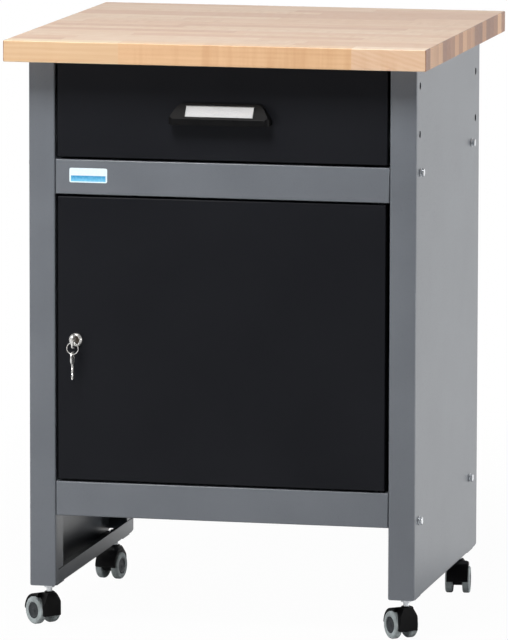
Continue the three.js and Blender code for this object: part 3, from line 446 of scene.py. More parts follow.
def lathe(axis, profile, segments):
    # profile: (radius, place along the axis), closed on itself or ending on the axis at both ends
    put = axisPlace[axis]
    bm = bmesh.new()
    rings = []
    for radius, along in profile:
        if radius < 1e-7:
            rings.append([bm.verts.new(put(0.0, 0.0, along))])
            continue
        turns = [2 * math.pi * i / segments for i in range(segments)]
        rings.append([bm.verts.new(put(radius * math.cos(t), radius * math.sin(t), along)) for t in turns])
    closed = len(rings[0]) > 1
    for i in range(0 if closed else 1, len(rings)):
        low, high = rings[i - 1], rings[i]
        for j in range(segments):
            after = j + 1
            corners = [low[j % len(low)], low[after % len(low)], high[after % len(high)], high[j % len(high)]]
            corners = list(dict.fromkeys(corners))  # a ring that is a point gives a triangle
            if len(corners) > 2:
                bm.faces.new(corners)
    return newPiece("lathe", bm)


at = Matrix.Translation


def drum(axis, radius, low, high, segments):
    return lathe(axis, [(0, low), (radius, low), (radius, high), (0, high)], segments)


def combined(piece, tools, operation):
    for tool in tools:
        step = piece.modifiers.new(operation, "BOOLEAN")
        step.operation = operation
        step.solver = "EXACT"
        step.object = tool
    baked(piece)
    for tool in tools:
        bpy.data.objects.remove(tool)
    return piece


def moved(piece, matrix):
    piece.data.transform(matrix)
    return piece


def copied(piece, name):
    twin = linked(name, piece.data.copy())
    twin.matrix_world = piece.matrix_world
    return twin


def merged(name, pieces):
    bm = bmesh.new()
    for piece in pieces:
        bm.from_mesh(piece.data)
        bpy.data.objects.remove(piece)
    return pieceOf(name, bm)


def softened(piece, edge=0.0, segments=2, angle=32):
    if edge:
        bevel = piece.modifiers.new("edge", "BEVEL")
        bevel.width = edge
        bevel.segments = segments
        bevel.limit_method = "ANGLE"
        bevel.angle_limit = math.radians(angle)
    mesh = baked(piece).data
    mesh.polygons.foreach_set("use_smooth", [True] * len(mesh.polygons))
    mesh.set_sharp_from_angle(angle=math.radians(angle))
    weights = piece.modifiers.new("normals", "WEIGHTED_NORMAL")
    weights.keep_sharp = True
    return baked(piece)


def seated(piece, name, finish, body, *nodes):
    piece.name = name
    piece.data.name = name
    piece.data.materials.clear()
    piece.data.materials.append(materials[finish])
    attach(piece, body)
    if nodes:
        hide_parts(*nodes)
    return piece


def sheetCopy(node, name, finish, edge):
    # A folded sheet keeps the frame's own form, with softened edges and shaded bends.
    piece = copied(frame["nodes"][node], name)
    bm = bmesh.new()
    bm.from_mesh(piece.data)
    bmesh.ops.remove_doubles(bm, verts=bm.verts, dist=5e-6)
    bmesh.ops.dissolve_limit(bm, angle_limit=math.radians(0.4), verts=bm.verts, edges=bm.edges)
    bm.to_mesh(piece.data)
    bm.free()
    softened(piece, edge, 2, 50)
    return seated(piece, name, finish, bodyOf[node], node)


# Geometry Nodes for what repeats

def repeatTree(name, *labels):
    tree = bpy.data.node_groups.new(name, "GeometryNodeTree")
    tree.interface.new_socket("Geometry", in_out="INPUT", socket_type="NodeSocketGeometry")
    for label in labels:
        tree.interface.new_socket(label, in_out="INPUT", socket_type="NodeSocketFloat")
    tree.interface.new_socket("Finish", in_out="INPUT", socket_type="NodeSocketMaterial")
    tree.interface.new_socket("Geometry", in_out="OUTPUT", socket_type="NodeSocketGeometry")
    kit = NodeKit(tree)
    given = kit.node("NodeGroupInput")
    return tree, kit, given, [given.other(label) for label in labels]


def endTree(kit, given, shapes):
    joined = kit.tree.nodes.new("GeometryNodeJoinGeometry")
    for shape in reversed(shapes):
        kit.tree.links.new(shape.socket, joined.inputs[0])
    real = kit.shape("RealizeInstances", [Wire(kit, joined.outputs[0])])
    dressed = kit.shape("SetMaterial", {"Geometry": real, "Material": given.other("Finish")})
    kit.node("NodeGroupOutput", {}, [dressed])


def runTree(name, tree, points, sizes, finish, facts=None):
    mesh = bpy.data.meshes.new(name)
    mesh.from_pydata(points, [], [])
    for label, values in (facts or {}).items():
        fact = mesh.attributes.new(label, "FLOAT", "POINT")
        fact.data.foreach_set("value", values)
    piece = linked(name, mesh)
    step = piece.modifiers.new("repeat", "NODES")
    step.node_group = tree
    given = {**sizes, "Finish": materials[finish]}
    for item in tree.interface.items_tree:
        if item.in_out == "INPUT" and item.name in given:
            step[item.identifier] = given[item.name]
    return baked(piece)


def fact(kit, label):
    return kit.node("GeometryNodeInputNamedAttribute", {"data_type": "FLOAT"}, {"Name": label})


def instanced(kit, points, shape, spin=None, stretch=None, offset=None):
    if offset:
        points = kit.shape("SetPosition", {"Geometry": points, "Offset": offset})
    values = {"Points": points, "Instance": shape}
    if spin:
        values["Rotation"] = kit.vector(0.0, 0.0, spin)
    if stretch:
        values["Scale"] = stretch
    return kit.shape("InstanceOnPoints", values)


def shifted(kit, shape, x, y, z):
    return kit.shape("Transform", {"Geometry": shape, "Translation": kit.vector(x, y, z)})


def boltTree():
    # One point for each bolt, on the panel's outer face. "side" is 1 or -1 and "grip" reaches to the nut.
    tree, kit, given, sizes = repeatTree("frameBolts", *frameBolt)
    corners, headHeight, washerAcross, washerHeight, shankAcross, nutHeight, threadEnd = sizes
    side, grip = fact(kit, "side"), fact(kit, "grip")
    spin = (1.0 - side) * (math.pi / 2)

    def disc(across, height, vertices, start):  # laid along +X
        drum = kit.shape("MeshCylinder", {"Vertices": vertices, "Radius": across / 2, "Depth": height})
        laid = kit.shape("Transform", {"Geometry": drum, "Rotation": (0.0, math.pi / 2, 0.0)})
        return shifted(kit, laid, height / 2 + start, 0.0, 0.0)

    full = grip + nutHeight + threadEnd
    endTree(kit, given, [
        instanced(kit, given, disc(corners, headHeight, 6, washerHeight + boltGap), spin),
        instanced(kit, given, disc(washerAcross, washerHeight, 32, boltGap), spin),
        instanced(kit, given, disc(corners, nutHeight, 6, 0.0 - nutHeight), spin,
                  offset=kit.vector(0.0 - side * grip, 0.0, 0.0)),
        instanced(kit, given, disc(shankAcross, 1.0, 20, -1.0), spin, stretch=kit.vector(full, 1.0, 1.0)),
    ])
    return tree


def ballTree():
    # One point for each row, at its front end. The balls lie along Y.
    tree, kit, given, (ball, pitch, length) = repeatTree("ballRows", "Ball", "Pitch", "Length")
    line = kit.node("GeometryNodeMeshLine", {"mode": "OFFSET"}, {
        "Count": (length / pitch).calc("FLOOR"), "Start Location": kit.vector(0.0, pitch / 2, 0.0),
        "Offset": kit.vector(0.0, pitch, 0.0)})
    sphere = kit.shape("MeshIcoSphere", {"Radius": ball / 2, "Subdivisions": 2})
    endTree(kit, given, [instanced(kit, given, instanced(kit, line, sphere))])
    return tree


def screwTree():
    # Pan-head screws seen from below, one for each point, with their heads towards -Z.
    tree, kit, given, (head, height, rim) = repeatTree("topScrews", *topScrew)
    dome = kit.shape("MeshUVSphere", {"Segments": 20, "Rings": 10, "Radius": head / 2})
    flat = kit.shape("Transform", {"Geometry": dome, "Scale": kit.vector(1.0, 1.0, height * 2 / head)})
    collar = kit.shape("MeshCylinder", {"Vertices": 24, "Radius": head / 2 + rim, "Depth": rim})
    socket = kit.shape("MeshCylinder", {"Vertices": 6, "Radius": head / 5, "Depth": head})
    sunk = shifted(kit, socket, 0.0, 0.0, 0.0 - head * 0.62)
    cut = kit.node("GeometryNodeMeshBoolean", {"operation": "DIFFERENCE"}, {"Mesh 1": flat, "Mesh 2": sunk})
    endTree(kit, given, [instanced(kit, given, cut), instanced(kit, given, collar)])
    return tree


# Pieces of the bench

def makeWorktop():
    slab = prism("z", rounded(topLow[:2], topHigh[:2], topCorner, 5), topLow.z, topHigh.z)
    seated(softened(slab, topEdge, 5, 60), "worktop_slab", "beech", "cabinet", "worktop")


sheets = {
    ("greyPaint", 0.3 * mm): {
        "side_panel_left": "left_side_sheet", "side_panel_right": "right_side_sheet",
        "upper_rail": "upper_cross_rail", "lower_rail": "lower_cross_rail",
        "cupboard_ceiling": "ceiling_pan", "cupboard_floor": "floor_pan", "back_panel": "back_sheet"},
    ("blackPaint", 0.28 * mm): {
        "drawer_front": "drawer_front_sheet", "drawer_box": "drawer_box_sheet", "door": "door_sheet"},
}


def makeSheets():
    for (finish, edge), names in sheets.items():
        for node, name in names.items():
            sheetCopy(node, name, finish, edge)


frameBolt = {"Across corners": 10 * mm / math.cos(math.pi / 6), "Head height": 4 * mm, "Washer": 12.5 * mm,
             "Washer thickness": 1.2 * mm, "Shank": 6 * mm, "Nut height": 5 * mm, "Thread end": 1.5 * mm}
boltGap = 0.3 * mm


def makeBolts():
    nodes = sorted(node for node in frame["nodes"] if node.startswith("frame_bolt"))
    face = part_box("side_panel_right")[1].x
    points, sides, grips = [], [], []
    for node in nodes:
        low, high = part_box(node)
        side = math.copysign(1.0, low.x)
        points.append((face * side, (low.y + high.y) / 2, (low.z + high.z) / 2))
        sides.append(side)
        grips.append(face - min(abs(low.x), abs(high.x)) - frameBolt["Nut height"] - frameBolt["Thread end"])
    bolts = runTree("bolts", boltTree(), points, frameBolt, "zinc", {"side": sides, "grip": grips})
    seated(softened(bolts, 0.35 * mm, 2, 40), "frame_bolt_set", "zinc", "cabinet", *nodes)


topScrew = {"Head": 8 * mm, "Head height": 2.6 * mm, "Rim": 0.8 * mm}
screwPlace = inMm(spacing=128, inset=10, under=2)


def makeTopScrews():
    low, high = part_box("side_panel_right")
    middle = (low.y + high.y) / 2
    points = [(side * (abs(low.x) + screwPlace["inset"]), middle + row * screwPlace["spacing"],
               high.z - screwPlace["under"]) for side in (-1, 1) for row in (-1, 0, 1)]
    screws = runTree("screws", screwTree(), points, topScrew, "zinc")
    seated(softened(screws, 0.0, 2, 40), "worktop_screws", "zinc", "cabinet")


# "bead" is how far the frame's bead stands over the strip
runner = inMm(sheet=1.2, bend=1.6, hook=3, ball=2.6, pitch=11, cage=0.7, cageWidth=3.4, cageInset=4, bead=2.4)


def channel(low, high, opens, hook=0.0):
    # A C section, open to +X where opens is 1 and to -X where it is -1. Its ends are hooked if hook is given.
    sheet, bend = runner["sheet"], runner["bend"]
    back, mouth = (low.x, high.x) if opens > 0 else (high.x, low.x)
    wall, under = sheet * opens, high.z - sheet
    upper = [(back, high.z, bend), (mouth, high.z, bend if hook else 0)]
    if hook:
        upper += [(mouth, high.z - hook), (mouth - wall, high.z - hook), (mouth - wall, under, 0.3 * mm)]
    else:
        upper += [(mouth, under)]
    upper += [(back + wall, under, 0.4 * mm)]
    lower = [(a, low.z + high.z - b, *radius) for a, b, *radius in upper]
    # up the back, over the top, and back along the bottom
    return prism("y", filleted([lower[0], *upper, *reversed(lower[1:])], 4), low.y, high.y)


def makeRunners():
    for sideName, side in (("left", 1), ("right", -1)):
        fixed = softened(channel(*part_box(f"runner_fixed_{sideName}"), side, runner["hook"]), 0, 2, 40)
        seated(fixed, f"fixed_runner_{sideName}", "galvanised", "cabinet", f"runner_fixed_{sideName}")
        for member, body, opens in (("middle", f"runner_{sideName}", side), ("inner", "drawer", -side)):
            node = f"runner_{member}_{sideName}"
            low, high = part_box(node)
            centre, half = (low.x + high.x) / 2, runner["cageWidth"] / 2
            bead = Vector((0, 0, runner["bead"]))
            parts, rows = [channel(low + bead, high - bead, opens)], []
            for rim, up in ((high.z - runner["bead"], 1), (low.z + runner["bead"], -1)):
                cage = rounded((centre - half, rim), (centre + half, rim + up * runner["cage"]), 0)
                parts.append(prism("y", cage, low.y + runner["cageInset"], high.y - runner["cageInset"]))
                rows.append((centre, low.y, rim + up * (runner["bead"] - runner["ball"] / 2)))
            sizes = {"Ball": runner["ball"], "Pitch": runner["pitch"], "Length": high.y - low.y}
            balls = runTree("balls", ballTree(), rows, sizes, "zinc")
            whole = merged(node, [*[softened(part, 0, 2, 40) for part in parts], balls])
            seated(whole, f"{member}_runner_{sideName}", "galvanised", body, node)


pull = inMm(topHalf=58, topReach=5.5, lip=9, corner=9, wall=2.6, lipThickness=3, endWall=5, edge=0.7, boss=7,
            bossHeight=9.5, bossDrop=11, bossSpacing=96, shoulder=4, field=(99, 20, 1),
            paper=(97, 17.4, 0.25), cover=(98, 18.6, 0.4), clip=(2.2, 17, 0.9))


def makePull():
    half = (pullHigh.x - pullLow.x) / 2
    foot, top = pullLow.z, pullHigh.z
    face, reach = pullHigh.y, pullHigh.y - pullLow.y
    height = top - foot
    lip, topReach, topHalf, shoulder = pull["lip"], pull["topReach"], pull["topHalf"], pull["shoulder"]
    slope = (height - lip) / (reach - topReach)
    side = filleted([(face, foot), (face, top), (face - topReach, top, 1.2 * mm),
                     (face - reach, foot + lip, 2.2 * mm), (face - reach, foot, 1.0 * mm)], 5)
    right = [(half, foot, 4.5 * mm), (half, foot + lip - 1 * mm, 5 * mm),
             (topHalf + shoulder, foot + height * 0.82, 9 * mm), (topHalf - 2 * mm, top, 5 * mm)]
    front = filleted(right + [(-a, b, radius) for a, b, radius in reversed(right)], 6)
    plan = filleted([(-half, face - reach, pull["corner"]), (half, face - reach, pull["corner"]),
                     (half, face), (-half, face)], 6)
    body = combined(prism("x", side, -half, half), [
        prism("y", front, face - reach - 1 * mm, face + 1 * mm),
        prism("z", plan, foot - 1 * mm, top + 1 * mm)], "INTERSECT")
    drop = pull["wall"] * math.hypot(1, slope)

    def roof(out):
        return top - drop - slope * (out - topReach)

    lipInside = reach - pull["lipThickness"]
    grip = filleted([(face + 2 * mm, foot - 2 * mm), (face + 2 * mm, roof(topReach)),
                     (face - topReach, roof(topReach), 1 * mm),
                     (face - lipInside, roof(lipInside), 1 * mm), (face - lipInside, foot - 2 * mm)], 4)
    gripHalf = topHalf - pull["endWall"]
    middle = Vector((0, face - (reach + topReach) / 2, foot + (height + lip) / 2))
    lean = at(middle) @ Matrix.Rotation(math.atan(slope), 4, "X")

    def slab(size, bottom, radius, side=0.0):  # a plate that lies on the sloping face
        w, h, d = size
        plate = prism("z", rounded((-w / 2, -h / 2), (w / 2, h / 2), radius, 4), bottom, bottom + d)
        return moved(plate, at((side, 0, 0)) @ lean)

    w, h, d = pull["field"]
    combined(body, [prism("x", grip, -gripHalf, gripHalf), slab((w, h, 2 * d), -d, 0.8 * mm)], "DIFFERENCE")
    tall = pull["bossHeight"]
    posts = []
    for sign in (-1, 1):
        post = drum("y", pull["boss"] / 2, 0, tall, 24)
        posts.append(moved(post, at((sign * pull["bossSpacing"] / 2, face - tall, top - pull["bossDrop"]))))
    softened(body, pull["edge"], 3, 35)
    whole = merged("pull", [body, *[softened(post, 0.2 * mm) for post in posts]])
    seated(whole, "moulded_pull", "blackPlastic", "drawer", "drawer_pull")
    # blank label strip in the sunk field, held by a thin clear cover with two small clips
    paper = slab(pull["paper"], -d + 0.05 * mm, 0.4 * mm)
    seated(softened(paper), "label_strip", "labelPaper", "drawer")
    cover = slab(pull["cover"], -d + 0.4 * mm, 0.5 * mm)
    seated(softened(cover, 0.1 * mm), "label_cover", "clearFilm", "drawer")
    clips = [softened(slab(pull["clip"], -0.35 * mm, 0.4 * mm, sign * (w / 2 - 0.2 * mm)), 0.25 * mm)
             for sign in (-1, 1)]
    seated(merged("clips", clips), "label_clips", "blackPlastic", "drawer")


def makeBadge():
    left, foot, face = badge["left"], badge["foot"], railLow.y
    outline = rounded((left, foot), (left + badge["width"], foot + badge["height"]), badge["corner"], 8)
    sticker = prism("y", outline, face - badge["thickness"], face + 0.05 * mm)
    seated(softened(sticker, 0.12 * mm), "rail_badge", "badgeFilm", "cabinet")


pin = inMm(shank=6, shoulder=10, shoulderHeight=2.4, head=11, headHeight=2.5, neck=2.1)


def makePins():
    head, shank, shoulder = pin["head"] / 2, pin["shank"] / 2, pin["shoulder"] / 2
    neck = pin["headHeight"] + pin["neck"]
    end = neck + pin["shoulderHeight"]
    for name, up in (("lower", 1), ("upper", -1)):
        node = f"hinge_pin_{name}"
        low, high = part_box(node)
        length = high.z - low.z
        profile = filleted([(0, 0), (head, 0, 0.6 * mm), (head, pin["headHeight"], 0.3 * mm),
                            (shank, pin["headHeight"]), (shank, neck), (shoulder, neck, 0.3 * mm),
                            (shoulder, end, 0.3 * mm), (shank, end), (shank, length, 1.0 * mm),
                            (0, length)], 3)
        turned = lathe("z", [(radius, up * along) for radius, along in profile], 32)
        moved(turned, at(((low.x + high.x) / 2, (low.y + high.y) / 2, low.z if up > 0 else high.z)))
        seated(softened(turned), f"door_pin_{name}", "burnished", "cabinet", node)


lockAt = Vector(jointOf["lock_turn"]["pos_m"])
lock = inMm(rosette=19, rosetteThickness=5, gap=0.3, barrel=16, barrelLength=19, plug=11, recess=0.6, nut=21,
            nutThickness=4, sheet=1, run=0.35, camWidth=14, camReach=35, camThickness=2, tenon=6, screw=9,
            screwHead=2, keyway=(2.7, 7.7), keywayDepth=15)


def makeLock():
    place = at(lockAt)
    gap, length = lock["gap"], lock["barrelLength"]
    face = -gap - lock["rosetteThickness"]
    bore, barrel, rosette = lock["plug"] / 2 + lock["run"], lock["barrel"] / 2, lock["rosette"] / 2
    housing = lathe("y", filleted([
        (bore, face, 0.5 * mm), (rosette - 1.4 * mm, face, 0.8 * mm), (rosette, face + 2.0 * mm, 1.2 * mm),
        (rosette, -gap), (barrel, -gap), (barrel, length, 0.5 * mm), (bore, length)], 5), 64)
    seated(moved(softened(housing, 0, 2, 40), place), "lock_rosette", "nickel", "door", "lock_housing")

    near = lock["sheet"] + gap
    nut = prism("y", polygon(6, lock["nut"]), near, near + lock["nutThickness"])
    combined(nut, [drum("y", barrel + 0.15 * mm, near - 1 * mm, length, 48)], "DIFFERENCE")
    seated(moved(softened(nut, 0.5 * mm, 2, 40), place), "lock_ring_nut", "zinc", "door", "lock_nut")

    plugFace = face + lock["recess"]
    camNear = length + 2 * gap
    back = camNear + lock["camThickness"] + gap
    plug, tenon, screw, end = lock["plug"] / 2, lock["tenon"] / 2, lock["screw"] / 2, back + lock["screwHead"]
    core = lathe("y", filleted([
        (0, plugFace), (plug, plugFace, 0.5 * mm), (plug, camNear - gap), (tenon, camNear - gap),
        (tenon, back), (screw, back, 0.3 * mm), (screw, end, 0.8 * mm), (0, end)], 4), 48)
    w, h = lock["keyway"]
    slot = rounded((-w / 2, -h / 2), (w / 2, h / 2), 0.3 * mm, 2)
    combined(core, [prism("y", slot, plugFace - 1 * mm, lock["keywayDepth"])], "DIFFERENCE")
    half = lock["camWidth"] / 2
    arm = rounded((-half, -lock["camReach"]), (half, half), half * 0.98, 8)
    cam = prism("y", arm, camNear, camNear + lock["camThickness"])
    seated(moved(softened(core, 0, 2, 35), place), "lock_core", "plugMetal", "lock", "lock_plug")
    seated(moved(softened(cam, 0.25 * mm), place), "lock_arm", "zinc", "lock", "lock_cam")


keySize = inMm(thickness=2, bow=(17, 20.6), corner=6.4, hole=5.2, holeInset=4.7, blade=(22, 7), tip=2,
               cut=1.4, pitch=5, grooveFrom=(1, 0.4), grooveTo=(30, 1.5))
keyCuts = [0.7, 1.0, 0.55, 0.9, 0.75]  # each one's depth, as a share of the deepest


def keyBlank():
    # Lies along Y and is thick along X. The bow ends and the blade starts at y = 0.
    length, width = keySize["bow"]
    half, t, corner, pitch = width / 2, keySize["thickness"] / 2, keySize["corner"], keySize["pitch"]
    bow = prism("x", rounded((-length, -half), (0, half), corner, 8), -t, t)
    hole = moved(drum("x", keySize["hole"] / 2, -2 * t, 2 * t, 32), at((0, keySize["holeInset"] - length, 0)))
    reach, low = keySize["blade"][0], -keySize["blade"][1] / 2
    edge = [(-corner, low)]
    place = pitch * 0.7
    for share in keyCuts:
        cut = low + keySize["cut"] * share
        edge += [(place, low), (place + pitch * 0.3, cut), (place + pitch * 0.45, cut)]
        place += pitch * 0.72
    shoulder = reach - keySize["tip"]
    edge += [(place, low), (shoulder, low), (reach, 0), (shoulder, -low), (-corner, -low)]
    groove = prism("x", rounded(keySize["grooveFrom"], keySize["grooveTo"], 0), t * 0.45, 2 * t)
    combined(bow, [hole], "DIFFERENCE")
    combined(bow, [prism("x", edge, -t * 0.96, t * 0.96)], "UNION")
    combined(bow, [groove], "DIFFERENCE")
    return softened(bow, 0.22 * mm, 2, 35)


ringSize = inMm(diameter=16.4, wire=1.6)


def makeKeys():
    reach = keySize["blade"][0]
    spareLow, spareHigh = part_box("spare_key")
    ringLow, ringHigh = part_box("key_ring")
    blank = keyBlank()
    place = at((lockAt.x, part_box("key")[1].y - reach, lockAt.z))
    seated(moved(copied(blank, "key_a"), place), "turning_key", "nickel", "key", "key")
    hang = at((lockAt.x, (spareLow.y + spareHigh.y) / 2, spareLow.z + reach))
    hang = hang @ Matrix.Rotation(-math.pi / 2, 4, "X")
    seated(moved(blank, hang), "hanging_key", "nickel", "spare_key", "spare_key")
    seated(moved(splitRing(), at((ringLow + ringHigh) / 2)), "split_ring", "nickel", "key_ring", "key_ring")


def splitRing():
    # Wire wound twice. Both turns together are as wide as the solid ring.
    steps, sides, turns = 128, 12, 2
    radius, half = ringSize["diameter"] / 2, ringSize["wire"] / 2
    bm = bmesh.new()
    rings = []
    for i in range(steps + 1):
        share = i / steps
        turn = share * turns * 2 * math.pi
        shift = (share - 0.5) * half * 0.98
        ring = []
        for j in range(sides):
            t = 2 * math.pi * j / sides
            r = radius + half * 0.8 * math.cos(t)
            y = shift + half * 0.46 * math.sin(t)
            ring.append(bm.verts.new((r * math.cos(turn), y, r * math.sin(turn))))
        rings.append(ring)
    for low, high in zip(rings, rings[1:]):
        for j in range(sides):
            bm.faces.new((low[j - 1], low[j], high[j], high[j - 1]))
    bm.faces.new(rings[0])
    bm.faces.new(rings[-1])
    return softened(newPiece("ring", bm), 0, 2, 50)


castor = inMm(trail=15, width=11, spacing=14, hub=24, edge=5.2, innerEdge=3, axle=6, endGap=1.8, gap=0.3,
              hood=24, hoodWidth=31, hoodCorner=6.5, hoodFloor=13, rearFloor=21, shield=(22, 33),
              fenders=(42.5, 46.3), footCorner=2.5, hoodTop=46, collar=14, collarFoot=40, collarTop=48,
              clearance=1, bulge=2, socket=8.8, socketDepth=18.4, stem=8, thread=18, ridge=0.6,
              ridgeDepth=0.35, hex=13, hexHeight=6)
castor["wheel"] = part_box("wheel_tread_rear_left_a")[1].z
castor["axleHeight"] = castor["wheel"] / 2


def curve(start, control, end, steps=10):
    shares = [i / steps for i in range(steps + 1)]
    return [tuple((1 - t) ** 2 * s + 2 * t * (1 - t) * c + t * t * e for s, c, e in zip(start, control, end))
            for t in shares]


def arc(centre, radius, start, end, steps=16):
    turns = [start + (end - start) * i / steps for i in range(steps + 1)]
    return [(centre[0] + radius * math.cos(t), centre[1] + radius * math.sin(t)) for t in turns]


def castorHood():
    c = castor
    axle, trail, radius, collar = c["axleHeight"], c["trail"], c["hood"], c["collar"] / 2
    floor, top, half, over = c["hoodFloor"], c["hoodTop"], c["hoodWidth"] / 2, 1 * mm
    front, behind = trail - radius, trail + radius
    ahead = front - c["bulge"]
    toRear = math.asin((c["rearFloor"] - axle) / radius)
    toFloor = math.pi + math.asin((axle - floor) / radius)
    toNeck = Vector((collar - trail, top - axle))
    touch = math.atan2(toNeck.y, toNeck.x) - math.acos(radius / toNeck.length)
    # seen from the side: over the wheels, down the bulging front and along the foot
    side = arc((trail, axle), radius, toRear, touch, 24) + [(collar, top)]
    side += curve((-collar, top), (ahead, (top + axle) / 2), (front, axle), 12)
    side += arc((trail, axle), radius, math.pi, toFloor, 5)[1:]
    side += [(trail + c["wheel"] / 2 - c["rearFloor"] + floor, floor)]

    def outline(shoulder, swell):  # seen from the front
        foot = rounded((-half, floor), (half, shoulder), c["footCorner"], 4)[:10]
        return (foot + curve((half, shoulder), (half, swell), (collar, top), 12)
                + curve((-collar, top), (-half, swell), (-half, shoulder), 12))

    corner = c["hoodCorner"]
    plan = filleted([(ahead, -half, corner), (behind, -half), (behind, half), (ahead, half, corner)], 8)
    shield = prism("x", outline(*c["shield"]), ahead - over, collar + 2 * mm)
    combined(shield, [prism("x", outline(*c["fenders"]), collar, behind + over)], "UNION")
    tall = prism("z", plan, floor - over, top + over)
    shell = combined(prism("y", side, -half, half), [shield, tall], "INTERSECT")
    foot, tip = c["collarFoot"], c["collarTop"]
    ring = lathe("z", filleted([(0, foot), (collar, foot), (collar, tip, 0.8 * mm), (0, tip)], 4), 40)
    combined(shell, [ring], "UNION")
    inside, outside, pocket = c["spacing"] / 2 - 0.4 * mm, c["hoodWidth"], c["wheel"] / 2 + c["clearance"]
    tools = [moved(drum("y", pocket, low, high, 64), at((trail, 0, axle)))
             for low, high in ((-outside, -inside), (inside, outside))]
    tools.append(drum("z", c["socket"] / 2, tip - c["socketDepth"], tip + over, 32))
    softened(combined(shell, tools, "DIFFERENCE"), 0.55 * mm, 3, 38)
    reach, thick = c["spacing"] / 2 + c["width"] - c["endGap"] - c["gap"], c["axle"] / 2
    ends = filleted([(0, -reach), (thick, -reach, 0.5 * mm), (thick, reach, 0.5 * mm), (0, reach)], 3)
    rod = moved(lathe("y", ends, 32), at((trail, 0, axle)))
    return merged("hood", [shell, softened(rod)])


def castorTread():
    c = castor
    near, far = c["spacing"] / 2, c["spacing"] / 2 + c["width"]
    inner, outer, step = c["hub"] / 2, c["wheel"] / 2, far - 0.5 * mm
    profile = filleted([(inner, near, 0.3 * mm), (outer, near, c["innerEdge"]), (outer, far, c["edge"]),
                        (inner + 1.4 * mm, far, 0.8 * mm), (inner + 0.6 * mm, step, 0.4 * mm),
                        (inner, step)], 7)
    return softened(lathe("y", profile, 72), 0, 2, 50)


def castorHub():
    c = castor
    near, far = c["spacing"] / 2, c["spacing"] / 2 + c["width"] - c["gap"]
    rim, bore = c["hub"] / 2 - c["gap"], c["axle"] / 2 + 0.4 * mm
    end, dish, cap = near + c["width"] - c["endGap"], far - 0.9 * mm, far - 0.3 * mm
    profile = [(0, end), (bore, end), (bore, near), (rim, near)]
    profile += filleted([(rim, near + 1 * mm), (rim, far - 0.2 * mm, 1.0 * mm), (rim * 0.8, far, 1.2 * mm),
                         (rim * 0.72, dish, 1.2 * mm), (rim * 0.3, dish, 0.8 * mm),
                         (rim * 0.22, cap, 0.5 * mm), (0, cap)], 4)
    return softened(lathe("y", profile, 64), 0, 2, 50)


def castorStem(low, high):
    c = castor
    radius, length = c["stem"] / 2, high.z - low.z
    start = length - c["thread"]
    ridges = [(radius - c["ridgeDepth"] * (i % 2), start + 1 * mm + i * c["ridge"]) for i in range(27)]
    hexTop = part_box("side_panel_left")[0].z - c["gap"] - low.z
    shaft = lathe("z", [(0, 0), (radius - 0.6 * mm, 0), (radius, 0.8 * mm), (radius, start), *ridges,
                        (radius - 1 * mm, length), (0, length)], 32)
    nut = prism("z", polygon(6, c["hex"], 0.3), hexTop - c["hexHeight"], hexTop)
    return merged("stem", [softened(shaft, 0, 2, 30), softened(nut, 0.5 * mm, 2, 40)])


def makeCastors():
    hood, hub, tread = castorHood(), castorHub(), castorTread()
    onAxle = at((castor["trail"], 0, castor["axleHeight"]))
    for place in ("front_left", "front_right", "rear_left", "rear_right"):
        pivot = Vector(jointOf[f"castor_{place}_swivel"]["pos_m"])
        axle = Vector(jointOf[f"wheel_{place}_a_roll"]["pos_m"])
        yaw = math.atan2(axle.y - pivot.y, axle.x - pivot.x)
        stand = at((pivot.x, pivot.y, 0)) @ Matrix.Rotation(yaw, 4, "Z")
        low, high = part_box(f"castor_stem_{place}")
        stem = moved(castorStem(low, high), at((pivot.x, pivot.y, low.z)))
        seated(stem, f"castor_bolt_{place}", "zinc", "cabinet", f"castor_stem_{place}")
        shell = moved(copied(hood, "hood"), stand)
        seated(shell, f"castor_shell_{place}", "blackPlastic", f"castor_{place}", f"castor_hood_{place}")
        for letter, turn in (("a", 0.0), ("b", math.pi)):
            put = stand @ onAxle @ Matrix.Rotation(turn, 4, "Z")
            for kind, shape, finish in (("hub", hub, "hubPlastic"), ("tread", tread, "greyTread")):
                seated(moved(copied(shape, kind), put), f"{kind}_{place}_{letter}", finish,
                       f"wheel_{place}_{letter}", f"wheel_{kind}_{place}_{letter}")
    for piece in (hood, hub, tread):
        bpy.data.objects.remove(piece)


# Stage, light and camera

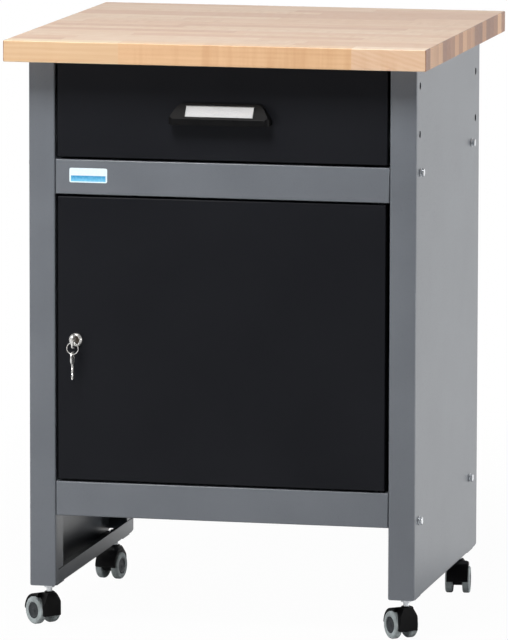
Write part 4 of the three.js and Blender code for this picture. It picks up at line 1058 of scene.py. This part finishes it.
def makeStage():
    bm = bmesh.new()
    bmesh.ops.create_grid(bm, x_segments=1, y_segments=1, size=14.0)
    floor = newPiece("floor", bm)
    made = bpy.data.materials.new("paleFloor")
    kit = kitOf(made)
    matt = kit.node("ShaderNodeBsdfDiffuse", {}, {"Color": (studio["floorTone"],) * 3 + (1.0,)})
    white = kit.node("ShaderNodeEmission", {}, {"Color": (1.0, 1.0, 1.0, 1.0), "Strength": 1.0})
    path = kit.node("ShaderNodeLightPath", output="Is Camera Ray")
    x, y = kit.parts(kit.place())[:2]
    away = (x * x + y * y).calc("SQRT")
    seen = path * kit.spread(away, 0.7, 1.8, 0.975, 1.0)
    behind = kit.spread(y, -0.6, 0.4, studio["frontGloss"], studio["backGloss"])
    mirrored = path.other("Is Glossy Ray") * kit.spread(away, 0.35, 0.65) * behind
    shader = kit.node("ShaderNodeMixShader", {}, [(seen + mirrored).calc("MINIMUM", 1.0), matt, white])
    kit.node("ShaderNodeOutputMaterial", {}, {"Surface": shader})
    floor.data.materials.append(made)

    world = bpy.data.worlds.new("studio")
    bpy.context.scene.world = world
    kit = kitOf(world)
    path = kit.node("ShaderNodeLightPath", output="Is Camera Ray")
    seen = (path + path.other("Is Transmission Ray")).calc("MINIMUM", 1.0)
    direction = kit.node("ShaderNodeTexCoord", output="Generated")
    behind = kit.spread(kit.parts(direction)[1], -0.3, 0.3, studio["frontGloss"], 1.0)
    mirrored = path.other("Is Glossy Ray") * behind
    strength = (seen + mirrored).calc("MINIMUM", 1.0).calc("MAXIMUM", studio["ambient"])
    light = kit.node("ShaderNodeBackground", {}, {"Color": (1.0, 1.0, 1.0, 1.0), "Strength": strength})
    kit.node("ShaderNodeOutputWorld", {}, {"Surface": light})


studio = {
    "ambient": 0.03, "frontGloss": 0.16, "backGloss": 0.9, "floorTone": 0.55,
    "mirroredLamps": ("keyPanel", "rightPanel"),
    "lamps": {
        "keyPanel": ((-0.35, -2.25, 3.05), (0.0, 0.0, 0.6), 1.2, 113.0),
        "frontPanel": ((-1.6, -2.9, 0.45), (0.0, 0.0, 0.4), 1.4, 40.0),
        "rightPanel": ((3.2, 0.5, 0.35), (0.0, 0.0, 0.45), 1.8, 122.0),
        "leftPanel": ((-3.2, 0.5, 0.5), (0.0, 0.0, 0.45), 1.8, 60.0),
        "rearPanel": ((-0.9, 3.0, 0.3), (0.0, 0.0, 0.45), 1.4, 40.0),
    },
}


def makeLamps():
    for name, (place, target, size, watts) in studio["lamps"].items():
        data = bpy.data.lights.new(name, "AREA")
        data.shape = "SQUARE"
        data.size = size
        data.energy = watts
        lamp = linked(name, data)
        lamp.visible_glossy = name in studio["mirroredLamps"]
        aim = Vector(target) - Vector(place)
        lamp.matrix_world = at(place) @ aim.to_track_quat("-Z", "Y").to_matrix().to_4x4()


view = {"azimuth": 12.52, "elevation": 7.97, "roll": 0.12, "distance": 9553.21 * mm,
        "target": (-7.81 * mm, 0.0, 415.73 * mm), "lens": 374.85, "sensor": 36.0}


def makeCamera():
    data = bpy.data.cameras.new("camera")
    data.sensor_fit = "VERTICAL"
    data.sensor_height = view["sensor"]
    data.lens = view["lens"]
    camera = linked("camera", data)
    az, el = math.radians(view["azimuth"]), math.radians(view["elevation"])
    back = Vector((math.sin(az) * math.cos(el), -math.cos(az) * math.cos(el), math.sin(el)))
    place = Vector(view["target"]) + back * view["distance"]
    aim = (-back).to_track_quat("-Z", "Y").to_matrix().to_4x4()
    camera.matrix_world = at(place) @ aim @ Matrix.Rotation(math.radians(view["roll"]), 4, "Z")
    bpy.context.scene.camera = camera


materials = {name: material(name, *entry[1:]) for name, entry in looks.items()}
bpy.context.scene.view_settings.view_transform = "Standard"

stages = {
    "worktop": makeWorktop, "folded sheets": makeSheets, "frame bolts": makeBolts,
    "worktop screws": makeTopScrews, "runners": makeRunners, "pull and label": makePull, "badge": makeBadge,
    "hinge pins": makePins, "lock": makeLock, "keys": makeKeys, "castors": makeCastors, "stage": makeStage,
    "lamps": makeLamps, "camera": makeCamera,
}
for label, make in stages.items():
    make()
    print("made", label)
